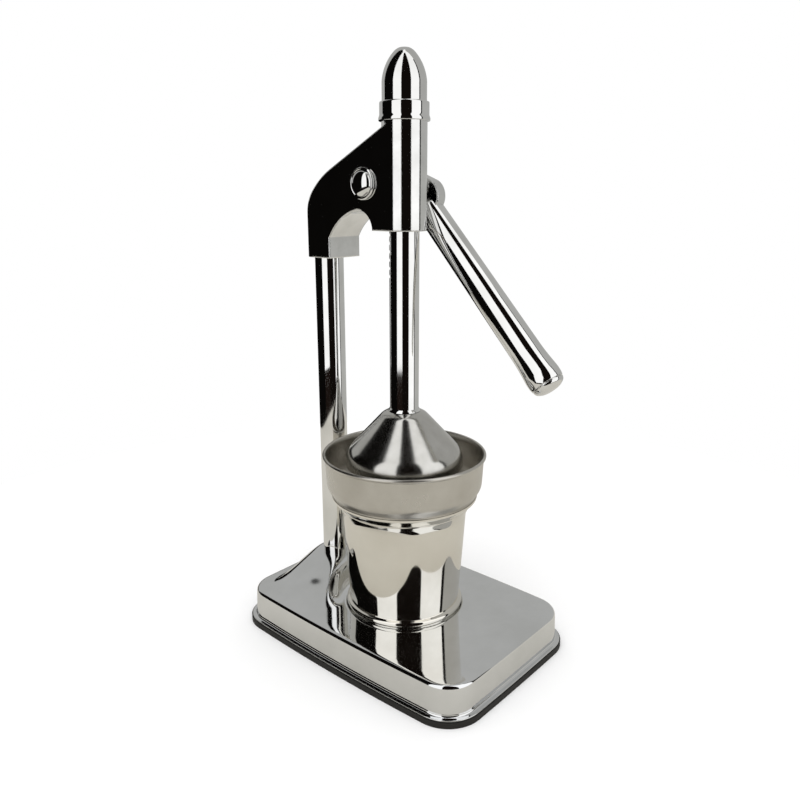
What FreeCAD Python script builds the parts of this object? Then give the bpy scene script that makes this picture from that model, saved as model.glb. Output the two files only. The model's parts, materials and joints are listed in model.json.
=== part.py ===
"""Lever citrus juice press: rack-and-pinion hand press on a pressed steel base.

Millimetres, +Z up. The origin is the centre of the base outline on the surface it stands on.
The cup side is the front (-Y), the column side is the back (+Y), the lever is on +X.
"""
import FreeCAD, Part
import math
import os
import re
import Sketcher
from FreeCAD import Placement, Rotation, Vector

doc = FreeCAD.newDocument("citrus_press")
sheet = doc.addObject("Spreadsheet::Sheet", "Sizes")

# Driving sizes: name, value or formula, meaning
SIZES = [
    ("base_length", 185.0, "footprint along Y"),
    ("base_width", 130.0, "footprint along X"),
    ("base_corner", 23.0, "footprint corner radius"),
    ("long_bow", 3.0, "bulge of the long sides"),
    ("short_bow", 0.8, "bulge of the short sides"),
    ("seal_height", 3.6, "rubber edge height"),
    ("seal_width", 9.0, "rubber edge width"),
    ("flange_inset", 0.6, "pan flange inside the rubber edge"),
    ("wall_inset", 3.6, "pan wall inside the footprint"),
    ("wall_draft", 3.0, "pan wall slope in degrees"),
    ("sheet_gauge", 1.0, "pan sheet thickness"),
    ("cut_over", 1.0, "length by which cuts run past the material"),
    ("top_height", 23.2, "flat top of the pan"),
    ("top_fillet", 5.5, "outside radius along the top edge"),
    ("mound_height", 15.0, "rise of the pan around the column foot"),
    ("mound_out_of_round", 0.01, "makes the rise's upper rings slightly longer along X"),
    ("mound_crown", 11.5, "flat radius on top of the rise"),
    ("mound_across", 46.0, "half width of the rise along X"),
    ("mound_along", 22.0, "half width of the rise along Y"),
    ("seat_depth", 0.8, "depth of the round cup seat"),
    ("seat_gap", 0.5, "radial play of the cup foot in its seat"),
    ("plate_gauge", 1.2, "bottom plate thickness"),
    ("plate_gap", 0.3, "play round the bottom plate"),
    ("post_radius", 4.0, "spacer post radius"),
    ("post_inset_x", 15.0, "post in from the base side"),
    ("post_x", "=base_width / 2 - post_inset_x", "post place across"),
    ("post_inset_y", 34.5, "post in from the base end"),
    ("post_y", "=base_length / 2 - post_inset_y", "post place along"),
    ("plate_screw_radius", 1.5, "bottom plate screw shank radius"),
    ("plate_screw_head", 3.4, "bottom plate screw head radius"),
    ("plate_screw_rise", 1.4, "bottom plate screw head height"),
    ("plate_screw_length", 9.0, "bottom plate screw shank length"),
    ("thread_gap", 0.05, "radial play drawn at screw threads"),
    ("column_inset", 32.2, "column axis in from the base end"),
    ("column_y", "=base_length / 2 - column_inset", "column axis"),
    ("column_radius", 9.0, "column tube outside radius"),
    ("column_gauge", 1.2, "column tube wall"),
    ("column_entry", 24.0, "column tube length inside the head"),
    ("press_gap", 0.02, "radial gap drawn at press fits"),
    ("plug_length", 20.0, "threaded plug in the column foot"),
    ("bolt_radius", 4.0, "column bolt shank radius"),
    ("bolt_head_across", 13.0, "column bolt head across flats"),
    ("bolt_head_rise", 5.3, "column bolt head height"),
    ("bolt_short", 2.0, "bolt end below the plug top"),
    ("washer_radius", 8.0, "column bolt washer radius"),
    ("washer_gauge", 1.6, "column bolt washer thickness"),
    ("backing_radius", 10.5, "backing plate radius under the rise"),
    ("backing_gauge", 3.0, "backing plate thickness"),
    ("head_reach", 62.8, "rod axis in front of the column axis"),
    ("rod_y", "=column_y - head_reach", "rod, cone and cup axis"),
    ("head_half", 12.8, "half thickness of the head and radius of its round front"),
    ("leg_low", 239.5, "underside of the column socket"),
    ("head_step", 17.5, "rod housing starts above the column socket"),
    ("head_low", "=leg_low + head_step", "underside of the rod housing"),
    ("head_length", 63.0, "rod housing length"),
    ("head_top", "=head_low + head_length", "top of the rod housing"),
    ("leg_reach", 14.0, "front face of the leg ahead of the column axis"),
    ("web_drop", 4.7, "web top below the housing top at the rod axis"),
    ("web_start", "=head_top - web_drop", "height of the web top at the rod axis"),
    ("web_slope", 27.0, "fall of the web top in degrees"),
    ("web_round", 52.0, "radius of the web's back"),
    ("arch_block", 13.2, "back of the rod housing behind the rod axis"),
    ("arch_rise", 11.6, "arch height over the housing's underside"),
    ("arch_top", "=head_low + arch_rise", "highest point of the arch"),
    ("arch_reach", 25.0, "arch top behind the rod axis"),
    ("arch_top_y", "=rod_y + arch_reach", "arch top place along Y"),
    ("arch_leg", 12.5, "straight part of the leg front"),
    ("arch_spring", "=leg_low + arch_leg", "start of the arch on the leg"),
    ("arch_round", 12.0, "arch corner radius at the rod housing"),
    ("arch_sweep", 34.0, "arch corner radius at the leg"),
    ("rod_radius", 8.7, "rod radius"),
    ("rod_over", 18.0, "rod top over the pinion axis at rest"),
    ("rod_top", "=pinion_height + rod_over", "rod top at rest"),
    ("press_room", 20.6, "rod shoulder over the reamer at rest"),
    ("rod_low", "=reamer_top + press_room", "rod shoulder on the cone"),
    ("rod_chamfer", 1.5, "rod top chamfer"),
    ("running_gap", 0.06, "radial clearance of rod and shaft in their bushes"),
    ("bush_wall", 1.5, "rod bush wall"),
    ("low_bush_length", 10.0, "lower rod bush length"),
    ("high_bush_drop", 20.6, "upper rod bush start below the housing top"),
    ("high_bush_low", "=head_top - high_bush_drop", "upper rod bush start"),
    ("high_bush_length", 12.0, "upper rod bush length"),
    ("spigot_radius", 4.0, "threaded spigot under the rod"),
    ("spigot_length", 8.6, "spigot length"),
    ("gear_module", 1.5, "tooth size of rack and pinion"),
    ("gear_teeth", 18, "pinion teeth"),
    ("gear_root", 1.25, "tooth depth under the pitch line, in modules"),
    ("gear_width", 11.0, "pinion width"),
    ("gear_lash", 0.12, "play between rack and pinion teeth"),
    ("pressure_angle", 20.0, "tooth flank angle"),
    ("rack_pitch_depth", 6.3, "rack pitch line behind the rod axis"),
    ("rack_gaps", 14, "number of rack tooth gaps"),
    ("rack_gaps_above", 2, "tooth gaps above the pinion at rest"),
    ("pinion_rise", 26.0, "pinion axis over the housing's underside"),
    ("pinion_height", "=head_low + pinion_rise", "pinion axis height"),
    ("cavity_gap", 0.6, "room round the pinion in the head"),
    ("window_front_wall", 1.0, "wall in front of the window under the pinion"),
    ("window_back_wall", 3.0, "window under the pinion ends ahead of the pinion's back"),
    ("shaft_radius", 5.0, "pinion shaft radius"),
    ("shaft_bush_radius", 7.0, "shaft bush radius"),
    ("side_gap", 0.4, "gap between the head and the turning pieces beside it"),
    ("dome_radius", 9.2, "domed shaft cap radius"),
    ("dome_flange", 1.2, "domed shaft cap edge thickness"),
    ("dome_rise", 3.4, "domed shaft cap height over its edge"),
    ("cap_grip", 4.2, "cap skirt over the housing"),
    ("cap_skirt_low", "=head_top - cap_grip", "underside of the top cap"),
    ("cap_bead_radius", 14.4, "bead round the top cap"),
    ("cap_bead_height", 3.0, "height of the bead"),
    ("cap_bead_top", "=cap_skirt_low + cap_bead_height", "top of the bead"),
    ("cap_collar_radius", 13.8, "collar of the top cap"),
    ("cap_collar_rise", 5.8, "collar height over the housing"),
    ("cap_collar_top", "=head_top + cap_collar_rise", "top of the collar"),
    ("cap_body_radius", 12.4, "straight body of the top cap"),
    ("cap_body_rise", 10.2, "length of the straight body"),
    ("cap_body_top", "=cap_collar_top + cap_body_rise", "end of the straight body"),
    ("cap_dome_rise", 17.5, "height of the dome"),
    ("cap_top", "=cap_body_top + cap_dome_rise", "top of the press"),
    ("cap_nose", 5.0, "flat-round nose radius of the cap"),
    ("cap_dome_radius", 26.0, "curve of the dome between body and nose"),
    ("cap_nose_drop", 1.6, "fall of the nose to where the dome curve starts"),
    ("cap_wall", 1.2, "top cap wall"),
    ("cap_gap", 0.05, "gap between cap skirt and head"),
    ("cap_seat_gap", 0.2, "gap between the cap step and the head top"),
    ("cap_chamfer", 0.5, "bevel of the collar"),
    ("lever_x", 23.0, "lever handle axis across"),
    ("lever_slope", 47.3, "handle slope below the horizontal in degrees"),
    ("arm_reach", 18.4, "elbow in front of the shaft"),
    ("elbow_drop", 7.0, "elbow below the shaft"),
    ("elbow_height", "=pinion_height - elbow_drop", "elbow of the lever arm"),
    ("elbow_radius", 10.0, "round end of the arm"),
    ("hub_radius", 10.5, "arm radius round the shaft"),
    ("arm_gauge", 7.0, "arm plate thickness"),
    ("handle_drop", 6.4, "top end of the handle below the elbow"),
    ("handle_length", 127.0, "handle tube length"),
    ("handle_top_radius", 8.1, "handle radius at its top"),
    ("handle_low_radius", 9.1, "handle radius near its end"),
    ("handle_flare_radius", 10.2, "handle radius at its flared end"),
    ("handle_flare_length", 13.0, "length of the flare"),
    ("handle_end_length", 5.0, "length of the last taper after the flare"),
    ("handle_end_taper", 0.6, "fall of the last taper"),
    ("handle_top_round", 3.0, "rounding of the top end"),
    ("handle_gauge", 1.2, "handle tube wall"),
    ("slot_end_gap", 1.0, "room past the arm's round end in the handle slot"),
    ("tongue_length", 22.0, "arm tongue inside the handle"),
    ("tongue_width", 11.0, "arm tongue width"),
    ("slot_gap", 0.15, "play of the arm plate in the handle slot"),
    ("plug_dome", 4.4, "dome of the handle end plug"),
    ("plug_edge", 1.0, "straight edge of the handle end plug"),
    ("plug_room", 1.0, "room past the end plug inside the handle"),
    ("plug_depth", 9.0, "end plug length inside the handle"),
    ("arm_screw_head", 7.5, "lever screw head radius"),
    ("arm_screw_rise", 3.4, "lever screw head height"),
    ("arm_screw_radius", 2.5, "lever screw shank radius"),
    ("arm_screw_edge", 1.0, "straight edge of the lever screw head"),
    ("arm_screw_length", 12.0, "depth of the lever screw thread in the shaft"),
    ("arm_screw_play", 1.0, "room past the end of the lever screw"),
    ("set_screw_radius", 2.5, "head set screw radius"),
    ("set_screw_rise", 9.5, "head set screw over the socket's underside"),
    ("set_screw_height", "=leg_low + set_screw_rise", "head set screw height"),
    ("set_screw_socket", 1.25, "head set screw socket radius"),
    ("set_screw_socket_depth", 1.7, "head set screw socket depth"),
    ("set_screw_sink", 0.5, "head set screw below the surface"),
    ("cone_crown", 9.6, "flat radius on top of the cone"),
    ("cone_round", 4.0, "rounding between crown and shoulder"),
    ("cone_shoulder", 13.4, "shoulder radius of the cone"),
    ("cone_shoulder_drop", 1.6, "fall of the cone to its shoulder"),
    ("cone_skirt", 36.2, "cone skirt radius"),
    ("cone_slope_end", 34.2, "radius where the cone turns down"),
    ("cone_slope_drop", 24.4, "height of the cone slope"),
    ("cone_slope_low", "=rod_low - cone_slope_drop", "height where the cone turns down"),
    ("cone_bend_drop", 5.7, "height of the bend into the skirt"),
    ("cone_skirt_top", "=cone_slope_low - cone_bend_drop", "top of the straight skirt"),
    ("cone_skirt_length", 4.0, "length of the straight skirt"),
    ("cone_low", "=cone_skirt_top - cone_skirt_length", "lower rim of the cone"),
    ("cone_bend", 6.4, "rounding into the skirt"),
    ("cone_wall", 1.4, "cone wall"),
    ("cone_ring_rise", 1.8, "height of the ring between rod and cone"),
    ("nut_across", 13.0, "cone nut across flats"),
    ("nut_rise", 5.0, "cone nut height"),
    ("cone_washer_radius", 8.5, "cone washer radius"),
    ("cone_washer_gauge", 1.2, "cone washer thickness"),
    ("rim_radius", 50.6, "outside radius of the strainer rim"),
    ("bowl_rise", 26.8, "strainer rim over the cup lip"),
    ("rim_top", "=cup_top + bowl_rise", "top of the strainer rim"),
    ("rim_roll", 1.0, "radius of the rolled strainer rim"),
    ("bowl_top_radius", 49.0, "strainer wall under the rim"),
    ("bowl_low_radius", 48.0, "strainer wall at its foot"),
    ("bend_rise", 6.4, "strainer wall bend over the cup lip"),
    ("bowl_bend", "=cup_top + bend_rise", "height where the strainer wall turns in"),
    ("shoulder_inset", 0.5, "strainer shoulder in from the cup mouth"),
    ("bowl_seat_radius", "=lip_radius - shoulder_inset", "strainer shoulder radius"),
    ("cup_top", 97.6, "cup lip, where the strainer rests"),
    ("shoulder_step", 0.8, "upright edge of the strainer shoulder"),
    ("bowl_gauge", 0.9, "strainer sheet thickness"),
    ("spout_inset", 2.2, "strainer skirt in from the cup mouth"),
    ("spout_radius", "=lip_radius - spout_inset", "strainer skirt inside the cup mouth"),
    ("floor_inset", 0.8, "strainer floor in from the cup neck"),
    ("floor_radius", "=neck_radius - floor_inset", "strainer floor radius"),
    ("floor_drop", 4.2, "strainer floor below the cup lip"),
    ("floor_height", "=cup_top - floor_drop", "underside of the strainer floor"),
    ("slot_count", 24, "juice slots in the strainer floor"),
    ("slot_inner", 29.0, "inner end of the juice slots"),
    ("slot_outer", 38.0, "outer end of the juice slots"),
    ("slot_width", 2.4, "juice slot width"),
    ("reamer_radius", 25.0, "reamer foot radius"),
    ("reamer_height", 35.7, "reamer height"),
    ("reamer_top", "=floor_height + bowl_gauge + reamer_height", "reamer apex"),
    ("reamer_nose", 4.0, "reamer radius where its nose starts"),
    ("reamer_nose_drop", 1.2, "height of the reamer nose"),
    ("reamer_gauge", 1.2, "reamer wall"),
    ("rib_count", 12, "ribs on the reamer"),
    ("rib_width", 2.0, "rib width"),
    ("rib_rise", 1.6, "rib height over the reamer surface"),
    ("rib_drop", 4.0, "ribs end below the nose"),
    ("lip_radius", 45.4, "cup mouth radius"),
    ("lip_height", 1.2, "straight part of the cup lip"),
    ("neck_radius", 41.2, "cup radius over its neck"),
    ("neck_drop", 6.2, "upper neck edge below the lip"),
    ("neck_height", "=cup_top - neck_drop", "height of the upper neck edge"),
    ("throat_radius", 38.7, "cup radius under its neck"),
    ("neck_length", 4.4, "height of the neck curve"),
    ("throat_height", "=neck_height - neck_length", "height of the lower neck edge"),
    ("throat_curve", 4.0, "curve of the neck"),
    ("foot_radius", 34.9, "cup wall radius at the foot"),
    ("bead_radius", 37.4, "bead round the cup foot"),
    ("bead_height", 4.0, "bead height"),
    ("foot_step", 0.6, "bead start over the cup's underside"),
    ("cup_gauge", 0.9, "cup sheet thickness"),
    ("lift_gap", 0.05, "gap under the loose cup and strainer"),
]
for row, (alias, _, _) in enumerate(SIZES, start=1):
    sheet.setAlias("B%d" % row, alias)
for row, (alias, number, meaning) in enumerate(SIZES, start=1):
    sheet.set("A%d" % row, alias)
    sheet.set("B%d" % row, str(number))
    sheet.set("C%d" % row, meaning)
doc.recompute()

ALIASES = {entry[0] for entry in SIZES}
WORD = re.compile(r"[A-Za-z_]\w*")
FULL_TURN = 360.0


def bound(text):
    """Write the sheet's name before each size in an expression."""
    return WORD.sub(lambda m: "Sizes." + m.group(0) if m.group(0) in ALIASES else m.group(0), str(text))


def value(text):
    """Number that an expression of sizes gives now."""
    result = sheet.evalExpression(bound(text))
    return float(getattr(result, "Value", result))


def bind(item, path, text):
    """Tie one property of an object to an expression of sizes."""
    item.setExpression(path, bound(text))


def new_body(name, x="0", y="0", z="0"):
    """Start a sub-part; its own origin lies at x, y, z."""
    body = doc.addObject("PartDesign::Body", name)
    body.Label = name
    for path, text in (("x", x), ("y", y), ("z", z)):
        if text != "0":
            bind(body, "Placement.Base." + path, text)
    return body


def new_sketch(body, role, shift=None):
    """Sketch on one of the body's own origin planes, moved along x, y or z of that plane."""
    plane = next(f for f in body.Origin.OriginFeatures if f.Role == role)
    sketch = body.newObject("Sketcher::SketchObject", body.Name + "_" + role[:2].lower())
    sketch.AttachmentSupport = [(plane, "")]
    sketch.MapMode = "FlatFace"
    for axis, text in (shift or {}).items():
        bind(sketch, "AttachmentOffset.Base." + axis, text)
    return sketch


def place_point(sketch, edge, end, across, up):
    """Fix one end of an edge at sizes measured from the sketch origin."""
    for text, kind, axis in ((across, "DistanceX", -2), (up, "DistanceY", -1)):
        if text == "0":
            sketch.addConstraint(Sketcher.Constraint("PointOnObject", edge, end, axis))
            continue
        index = sketch.addConstraint(Sketcher.Constraint(kind, -1, 1, edge, end, value(text)))
        bind(sketch, "Constraints[%d]" % index, text)


def draw(sketch, corners):
    """Closed outline through corners (across, up).

    A third and fourth entry bend the edge that leads to the corner: its radius, and 1 or -1 for a
    bulge to the left or the right of the way travelled.
    """
    points = [Vector(value(c[0]), value(c[1]), 0) for c in corners]
    edges = []
    for i, corner in enumerate(corners):
        start, end = points[i - 1], points[i]
        if len(corner) == 2:
            edges.append((sketch.addGeometry(Part.LineSegment(start, end), False), 1, 2))
            continue
        radius = value(corner[2])
        chord = end - start
        rise = radius - math.sqrt(radius ** 2 - chord.Length ** 2 / 4)
        left = Vector(-chord.y, chord.x, 0) / chord.Length
        middle = (start + end) / 2 + left * rise * corner[3]
        if corner[3] < 0:
            edges.append((sketch.addGeometry(Part.Arc(start, middle, end), False), 1, 2))
        else:
            edges.append((sketch.addGeometry(Part.Arc(end, middle, start), False), 2, 1))
    for here, after in zip(edges, edges[1:] + edges[:1]):
        sketch.addConstraint(Sketcher.Constraint("Coincident", here[0], here[2], after[0], after[1]))
    for corner, edge in zip(corners, edges):
        place_point(sketch, edge[0], edge[2], corner[0], corner[1])
        if len(corner) > 2:
            datum = sketch.addConstraint(Sketcher.Constraint("Radius", edge[0], value(corner[2])))
            bind(sketch, "Constraints[%d]" % datum, corner[2])


def circle(sketch, across, up, radius):
    """Full circle in a sketch."""
    centre = Vector(value(across), value(up), 0)
    index = sketch.addGeometry(Part.Circle(centre, Vector(0, 0, 1), value(radius)), False)
    place_point(sketch, index, 3, across, up)
    datum = sketch.addConstraint(Sketcher.Constraint("Radius", index, value(radius)))
    bind(sketch, "Constraints[%d]" % datum, radius)


def dome(half, rise):
    """Radius of the arc that rises by rise over half a chord, as an expression; its centre is on the axis."""
    return "(({h}) ^ 2 + ({r}) ^ 2) / (2 * ({r}))".format(h=half, r=rise)


def extrude(body, sketch, kind, length, reverse=False, both=False):
    """Pad or pocket from a sketch, to one side or evenly to both."""
    feature = body.newObject("PartDesign::" + kind, body.Name + "_" + kind.lower())
    feature.Profile = sketch
    if both:
        feature.SideType = "Symmetric"
    bind(feature, "Length", length)
    feature.Reversed = reverse
    sketch.Visibility = False
    doc.recompute()
    return feature


def turn(body, sketch, kind="Revolution"):
    """Full revolution, or groove, of a sketch about its own vertical axis."""
    feature = body.newObject("PartDesign::" + kind, body.Name + "_" + kind.lower())
    feature.Profile = sketch
    feature.ReferenceAxis = (sketch, ["V_Axis"])
    feature.Angle = FULL_TURN
    sketch.Visibility = False
    doc.recompute()
    return feature


def turned(name, corners, x="0", y="0", z="0"):
    """Sub-part turned about a vertical axis through x, y; corners are (radius, height)."""
    body = new_body(name, x, y, z)
    sketch = new_sketch(body, "XZ_Plane")
    draw(sketch, corners)
    turn(body, sketch)
    return body


def repeat_round(body, feature, count, axis="Z_Axis"):
    """Polar pattern of a feature about one of the body's axes."""
    pattern = body.newObject("PartDesign::PolarPattern", body.Name + "_polar")
    pattern.Originals = [feature]
    line = next(f for f in body.Origin.OriginFeatures if f.Role == axis)
    pattern.Axis = (line, [""])
    pattern.Angle = FULL_TURN
    bind(pattern, "Occurrences", count)
    body.Tip = pattern
    doc.recompute()
    return pattern


def edges_where(shape, test):
    """Names of the edges whose vertices and middle all pass a test."""
    names = []
    for number, edge in enumerate(shape.Edges, start=1):
        middle = edge.valueAt((edge.FirstParameter + edge.LastParameter) / 2)
        if all(test(p) for p in [v.Point for v in edge.Vertexes] + [middle]):
            names.append("Edge%d" % number)
    return names


def fillet(body, base, radius, test):
    """Round the edges of a feature that pass a test."""
    feature = body.newObject("PartDesign::Fillet", body.Name + "_fillet")
    feature.Base = (base, edges_where(base.Shape, test))
    bind(feature, "Radius", radius)
    doc.recompute()
    return feature


def primitive(kind, name, at=("0", "0", "0"), axis=None, angle=None, **sizes):
    """Part primitive whose sizes and place are tied to the sheet."""
    item = doc.addObject("Part::" + kind, name)
    for prop, text in sizes.items():
        bind(item, prop, text)
    if axis is not None:
        item.Placement = Placement(Vector(), Rotation(axis, value(angle)))
        bind(item, "Placement.Rotation.Angle", angle)
    for path, text in zip(("x", "y", "z"), at):
        bind(item, "Placement.Base." + path, text)
    return item


def combine(kind, name, members):
    """Boolean of several objects, labelled as a sub-part when it is one."""
    item = doc.addObject("Part::" + kind, name)
    if kind == "Cut":
        item.Base, item.Tool = members
    else:
        item.Shapes = members
    item.Label = name
    doc.recompute()
    return item


EPS = 1e-4

# Base: a footprint of eight tangent arcs, drawn at any inset


def side_circle(near, half, bow):
    """Radius and centre distance of the circle that a bulged side lies on, as expressions."""
    radius = "(({h}) ^ 2 + {b} ^ 2) / (2 * {b})".format(h=half, b=bow)
    return radius, "{0} - ({1})".format(near, radius)


def footprint(sketch, inset):
    """Rounded rectangle with slightly bulged sides, inset evenly from the base outline."""
    long_radius, long_centre = side_circle("base_width / 2", "base_length / 2", "long_bow")
    short_radius, short_centre = side_circle("base_length / 2", "base_width / 2", "short_bow")
    long_x, short_y = value(long_centre), value(short_centre)
    span_long = value(long_radius + " - base_corner")
    span_short = value(short_radius + " - base_corner")
    # The corner centre lies where the circles about both side centres cross
    between = Vector(-long_x, short_y, 0)
    along = (span_long ** 2 - span_short ** 2 + between.Length ** 2) / (2 * between.Length)
    aside = math.sqrt(span_long ** 2 - along ** 2)
    unit = between / between.Length
    foot = Vector(long_x, 0, 0) + unit * along
    sideways = Vector(-unit.y, unit.x, 0) * aside
    corner = max(foot + sideways, foot - sideways, key=lambda p: p.x + p.y)
    lean = math.atan2(corner.y, corner.x - long_x)
    tip = math.atan2(corner.y - short_y, corner.x)
    turn_half, turn_whole = math.pi, 2 * math.pi
    breaks = [-lean, lean, tip, turn_half - tip, turn_half - lean, turn_half + lean, turn_half + tip,
              turn_whole - tip, turn_whole - lean]
    corner_text = "base_corner - ({0})".format(inset)
    long_text = "{0} - ({1})".format(long_radius, inset)
    short_text = "{0} - ({1})".format(short_radius, inset)
    arcs = []
    for sign_x, sign_y in ((1, 1), (-1, -1)):
        arcs.append((Vector(long_x * sign_x, 0, 0), long_text, ("%d * (%s)" % (sign_x, long_centre), "0")))
        arcs.append((Vector(corner.x * sign_x, corner.y * sign_y, 0), corner_text, None))
        arcs.append((Vector(0, short_y * sign_y, 0), short_text, ("0", "%d * (%s)" % (sign_y, short_centre))))
        arcs.append((Vector(-corner.x * sign_x, corner.y * sign_y, 0), corner_text, None))
    edges = []
    for (place, text, _), start, end in zip(arcs, breaks, breaks[1:]):
        ring = Part.Circle(place, Vector(0, 0, 1), value(text))
        edges.append(sketch.addGeometry(Part.ArcOfCircle(ring, start, end), False))
    for here, after in zip(edges, edges[1:] + edges[:1]):
        sketch.addConstraint(Sketcher.Constraint("Tangent", here, 2, after, 1))
    for (_, text, centre), edge in zip(arcs, edges):
        datum = sketch.addConstraint(Sketcher.Constraint("Radius", edge, value(text)))
        bind(sketch, "Constraints[%d]" % datum, text)
        if centre:
            place_point(sketch, edge, 3, *centre)


def outline_pad(name, inset, low, height, hole=None):
    """Flat slab with the footprint's outline, inset, with an optional inset hole."""
    body = new_body(name)
    sketch = new_sketch(body, "XY_Plane", {"z": low})
    footprint(sketch, inset)
    if hole:
        footprint(sketch, hole)
    return body, extrude(body, sketch, "Pad", height)


MOUND_STEPS = 7


def pan_form(name, thinner):
    """Outside form of the pan, or its hollow when made thinner: drafted box, round top edge and rise."""
    low = "seal_height - " + thinner if thinner != "0" else "seal_height"
    body, pad = outline_pad(name, "wall_inset + " + thinner, low, "top_height - ({0}) - {1}".format(low, thinner))
    bind(pad, "TaperAngle", "-wall_draft")
    doc.recompute()
    top = value("top_height - " + thinner)
    rounded = fillet(body, pad, "top_fillet - " + thinner, lambda p: p.z > top - EPS)
    sections = []
    for k in range(MOUND_STEPS):
        share = k / (MOUND_STEPS - 1)
        fall = (1 - math.cos(math.pi * share)) / 2
        height = "top_height + mound_height * {0} - {1}".format(1 - fall, thinner)
        if k == MOUND_STEPS - 1:
            height = "top_height - sheet_gauge / 2 - " + thinner
        sketch = new_sketch(body, "XY_Plane", {"z": height, "y": "column_y"})
        long_half = "mound_crown + (mound_across - mound_crown) * {0} - {1}".format(share, thinner)
        short_half = "mound_crown + mound_out_of_round + (mound_along - mound_crown) * {0} - {1}".format(share, thinner)
        if k == 0:
            short_half = "mound_crown - mound_out_of_round - " + thinner
        ellipse(sketch, long_half, short_half)
        sections.append(sketch)
    loft = body.newObject("PartDesign::AdditiveLoft", name + "_rise")
    loft.Profile = sections[0]
    loft.Sections = sections[1:]
    doc.recompute()
    return body


def ellipse(sketch, half_x, half_y):
    """Ellipse about the sketch origin with given half widths."""
    shape = Part.Ellipse(Vector(), value(half_x), value(half_y))
    index = sketch.addGeometry(shape, False)
    sketch.exposeInternalGeometry(index)
    sketch.addConstraint(Sketcher.Constraint("Coincident", index, 3, -1, 1))
    sketch.addConstraint(Sketcher.Constraint("PointOnObject", index + 1, 1, -1))
    for line, kind, text in ((index + 1, "DistanceX", half_x), (index + 2, "DistanceY", half_y)):
        ends = sorted((1, 2), key=lambda e: sum(sketch.getPoint(line, e)))
        datum = sketch.addConstraint(Sketcher.Constraint(kind, line, ends[0], line, ends[1], 2 * value(text)))
        bind(sketch, "Constraints[%d]" % datum, "2 * ({0})".format(text))


POST_SPOTS = [("%d * post_x" % sx, "%d * post_y" % sy) for sx in (-1, 1) for sy in (-1, 1)]


def group(name, members):
    """Separate solids that share one node."""
    item = doc.addObject("Part::Compound", name)
    item.Links = members
    item.Label = name
    doc.recompute()
    return item


def make_base_pan():
    """Pressed steel cover: drafted walls, turned-out flange, rise round the column, round cup seat."""
    outer = pan_form("pan_outside", "0")
    hollow = pan_form("pan_hollow", "sheet_gauge")
    flange = outline_pad("pan_flange", "flange_inset", "seal_height", "sheet_gauge")[0]
    whole = combine("MultiFuse", "pan_whole", [outer, flange])
    column_hole = primitive("Cylinder", "pan_column_hole", ("0", "column_y", "0"),
                            Radius="bolt_radius + thread_gap", Height="top_height + mound_height + cut_over")
    seat = primitive("Cylinder", "pan_seat_cut", ("0", "rod_y", "top_height - seat_depth"),
                     Radius="bead_radius + seat_gap", Height="mound_height")
    dish = primitive("Cylinder", "pan_seat_dish", ("0", "rod_y", "top_height - sheet_gauge - seat_depth"),
                     Radius="bead_radius + seat_gap + sheet_gauge", Height="seat_depth")
    shell = combine("Cut", "pan_shell", [whole, hollow])
    dished = combine("MultiFuse", "pan_dished", [shell, dish])
    drilled = combine("Cut", "pan_drilled", [dished, column_hole])
    return combine("Cut", "base_pan", [drilled, seat])


def make_base_seal():
    """Black rubber edge that the whole press stands on."""
    return outline_pad("base_rim_seal", "0", "0", "seal_height", "seal_width")[0]


def make_bottom_plate():
    """Flat steel plate that closes the pan from below, drilled for its screws and the column bolt."""
    body, _ = outline_pad("base_bottom_plate", "wall_inset + sheet_gauge + plate_gap", "seal_height", "plate_gauge")
    sketch = new_sketch(body, "XY_Plane")
    for x, y in POST_SPOTS:
        circle(sketch, x, y, "plate_screw_radius + thread_gap")
    extrude(body, sketch, "Pocket", "seal_height + plate_gauge + cut_over", reverse=True)
    return body


def make_base_posts():
    """Spacer posts between bottom plate and pan top."""
    low = "seal_height + plate_gauge"
    height = "top_height - sheet_gauge - seal_height - plate_gauge"
    members = []
    for number, (x, y) in enumerate(POST_SPOTS, start=1):
        post = primitive("Cylinder", "post_%d" % number, (x, y, low), Radius="post_radius", Height=height)
        hole = primitive("Cylinder", "post_hole_%d" % number, (x, y, low),
                         Radius="plate_screw_radius + thread_gap", Height="plate_screw_length")
        members.append(combine("Cut", "post_drilled_%d" % number, [post, hole]))
    return group("base_posts", members)


def make_plate_screws():
    """Pan-head screws that hold the bottom plate to the posts."""
    members = []
    for number, (x, y) in enumerate(POST_SPOTS, start=1):
        head = primitive("Cylinder", "plate_screw_head_%d" % number, (x, y, "seal_height - plate_screw_rise"),
                         Radius="plate_screw_head", Height="plate_screw_rise")
        shank = primitive("Cylinder", "plate_screw_shank_%d" % number, (x, y, "seal_height"),
                          Radius="plate_screw_radius", Height="plate_screw_length - thread_gap")
        members.append(combine("MultiFuse", "plate_screw_%d" % number, [head, shank]))
    return group("plate_screws", members)


FOOT = "top_height + mound_height"
UNDER = FOOT + " - sheet_gauge"


def make_backing_plate():
    """Thick round plate welded under the rise, which takes the pull of the column bolt."""
    plate = "backing_gauge"
    return turned("column_backing_plate", [
        ("bolt_radius + thread_gap", UNDER + " - " + plate), ("backing_radius", UNDER + " - " + plate),
        ("backing_radius", UNDER), ("bolt_radius + thread_gap", UNDER)], y="column_y")


def make_bolt_washer():
    """Washer under the column bolt head."""
    top = UNDER + " - backing_gauge"
    return turned("column_bolt_washer", [
        ("bolt_radius + thread_gap", top + " - washer_gauge"), ("washer_radius", top + " - washer_gauge"),
        ("washer_radius", top), ("bolt_radius + thread_gap", top)], y="column_y")


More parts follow.
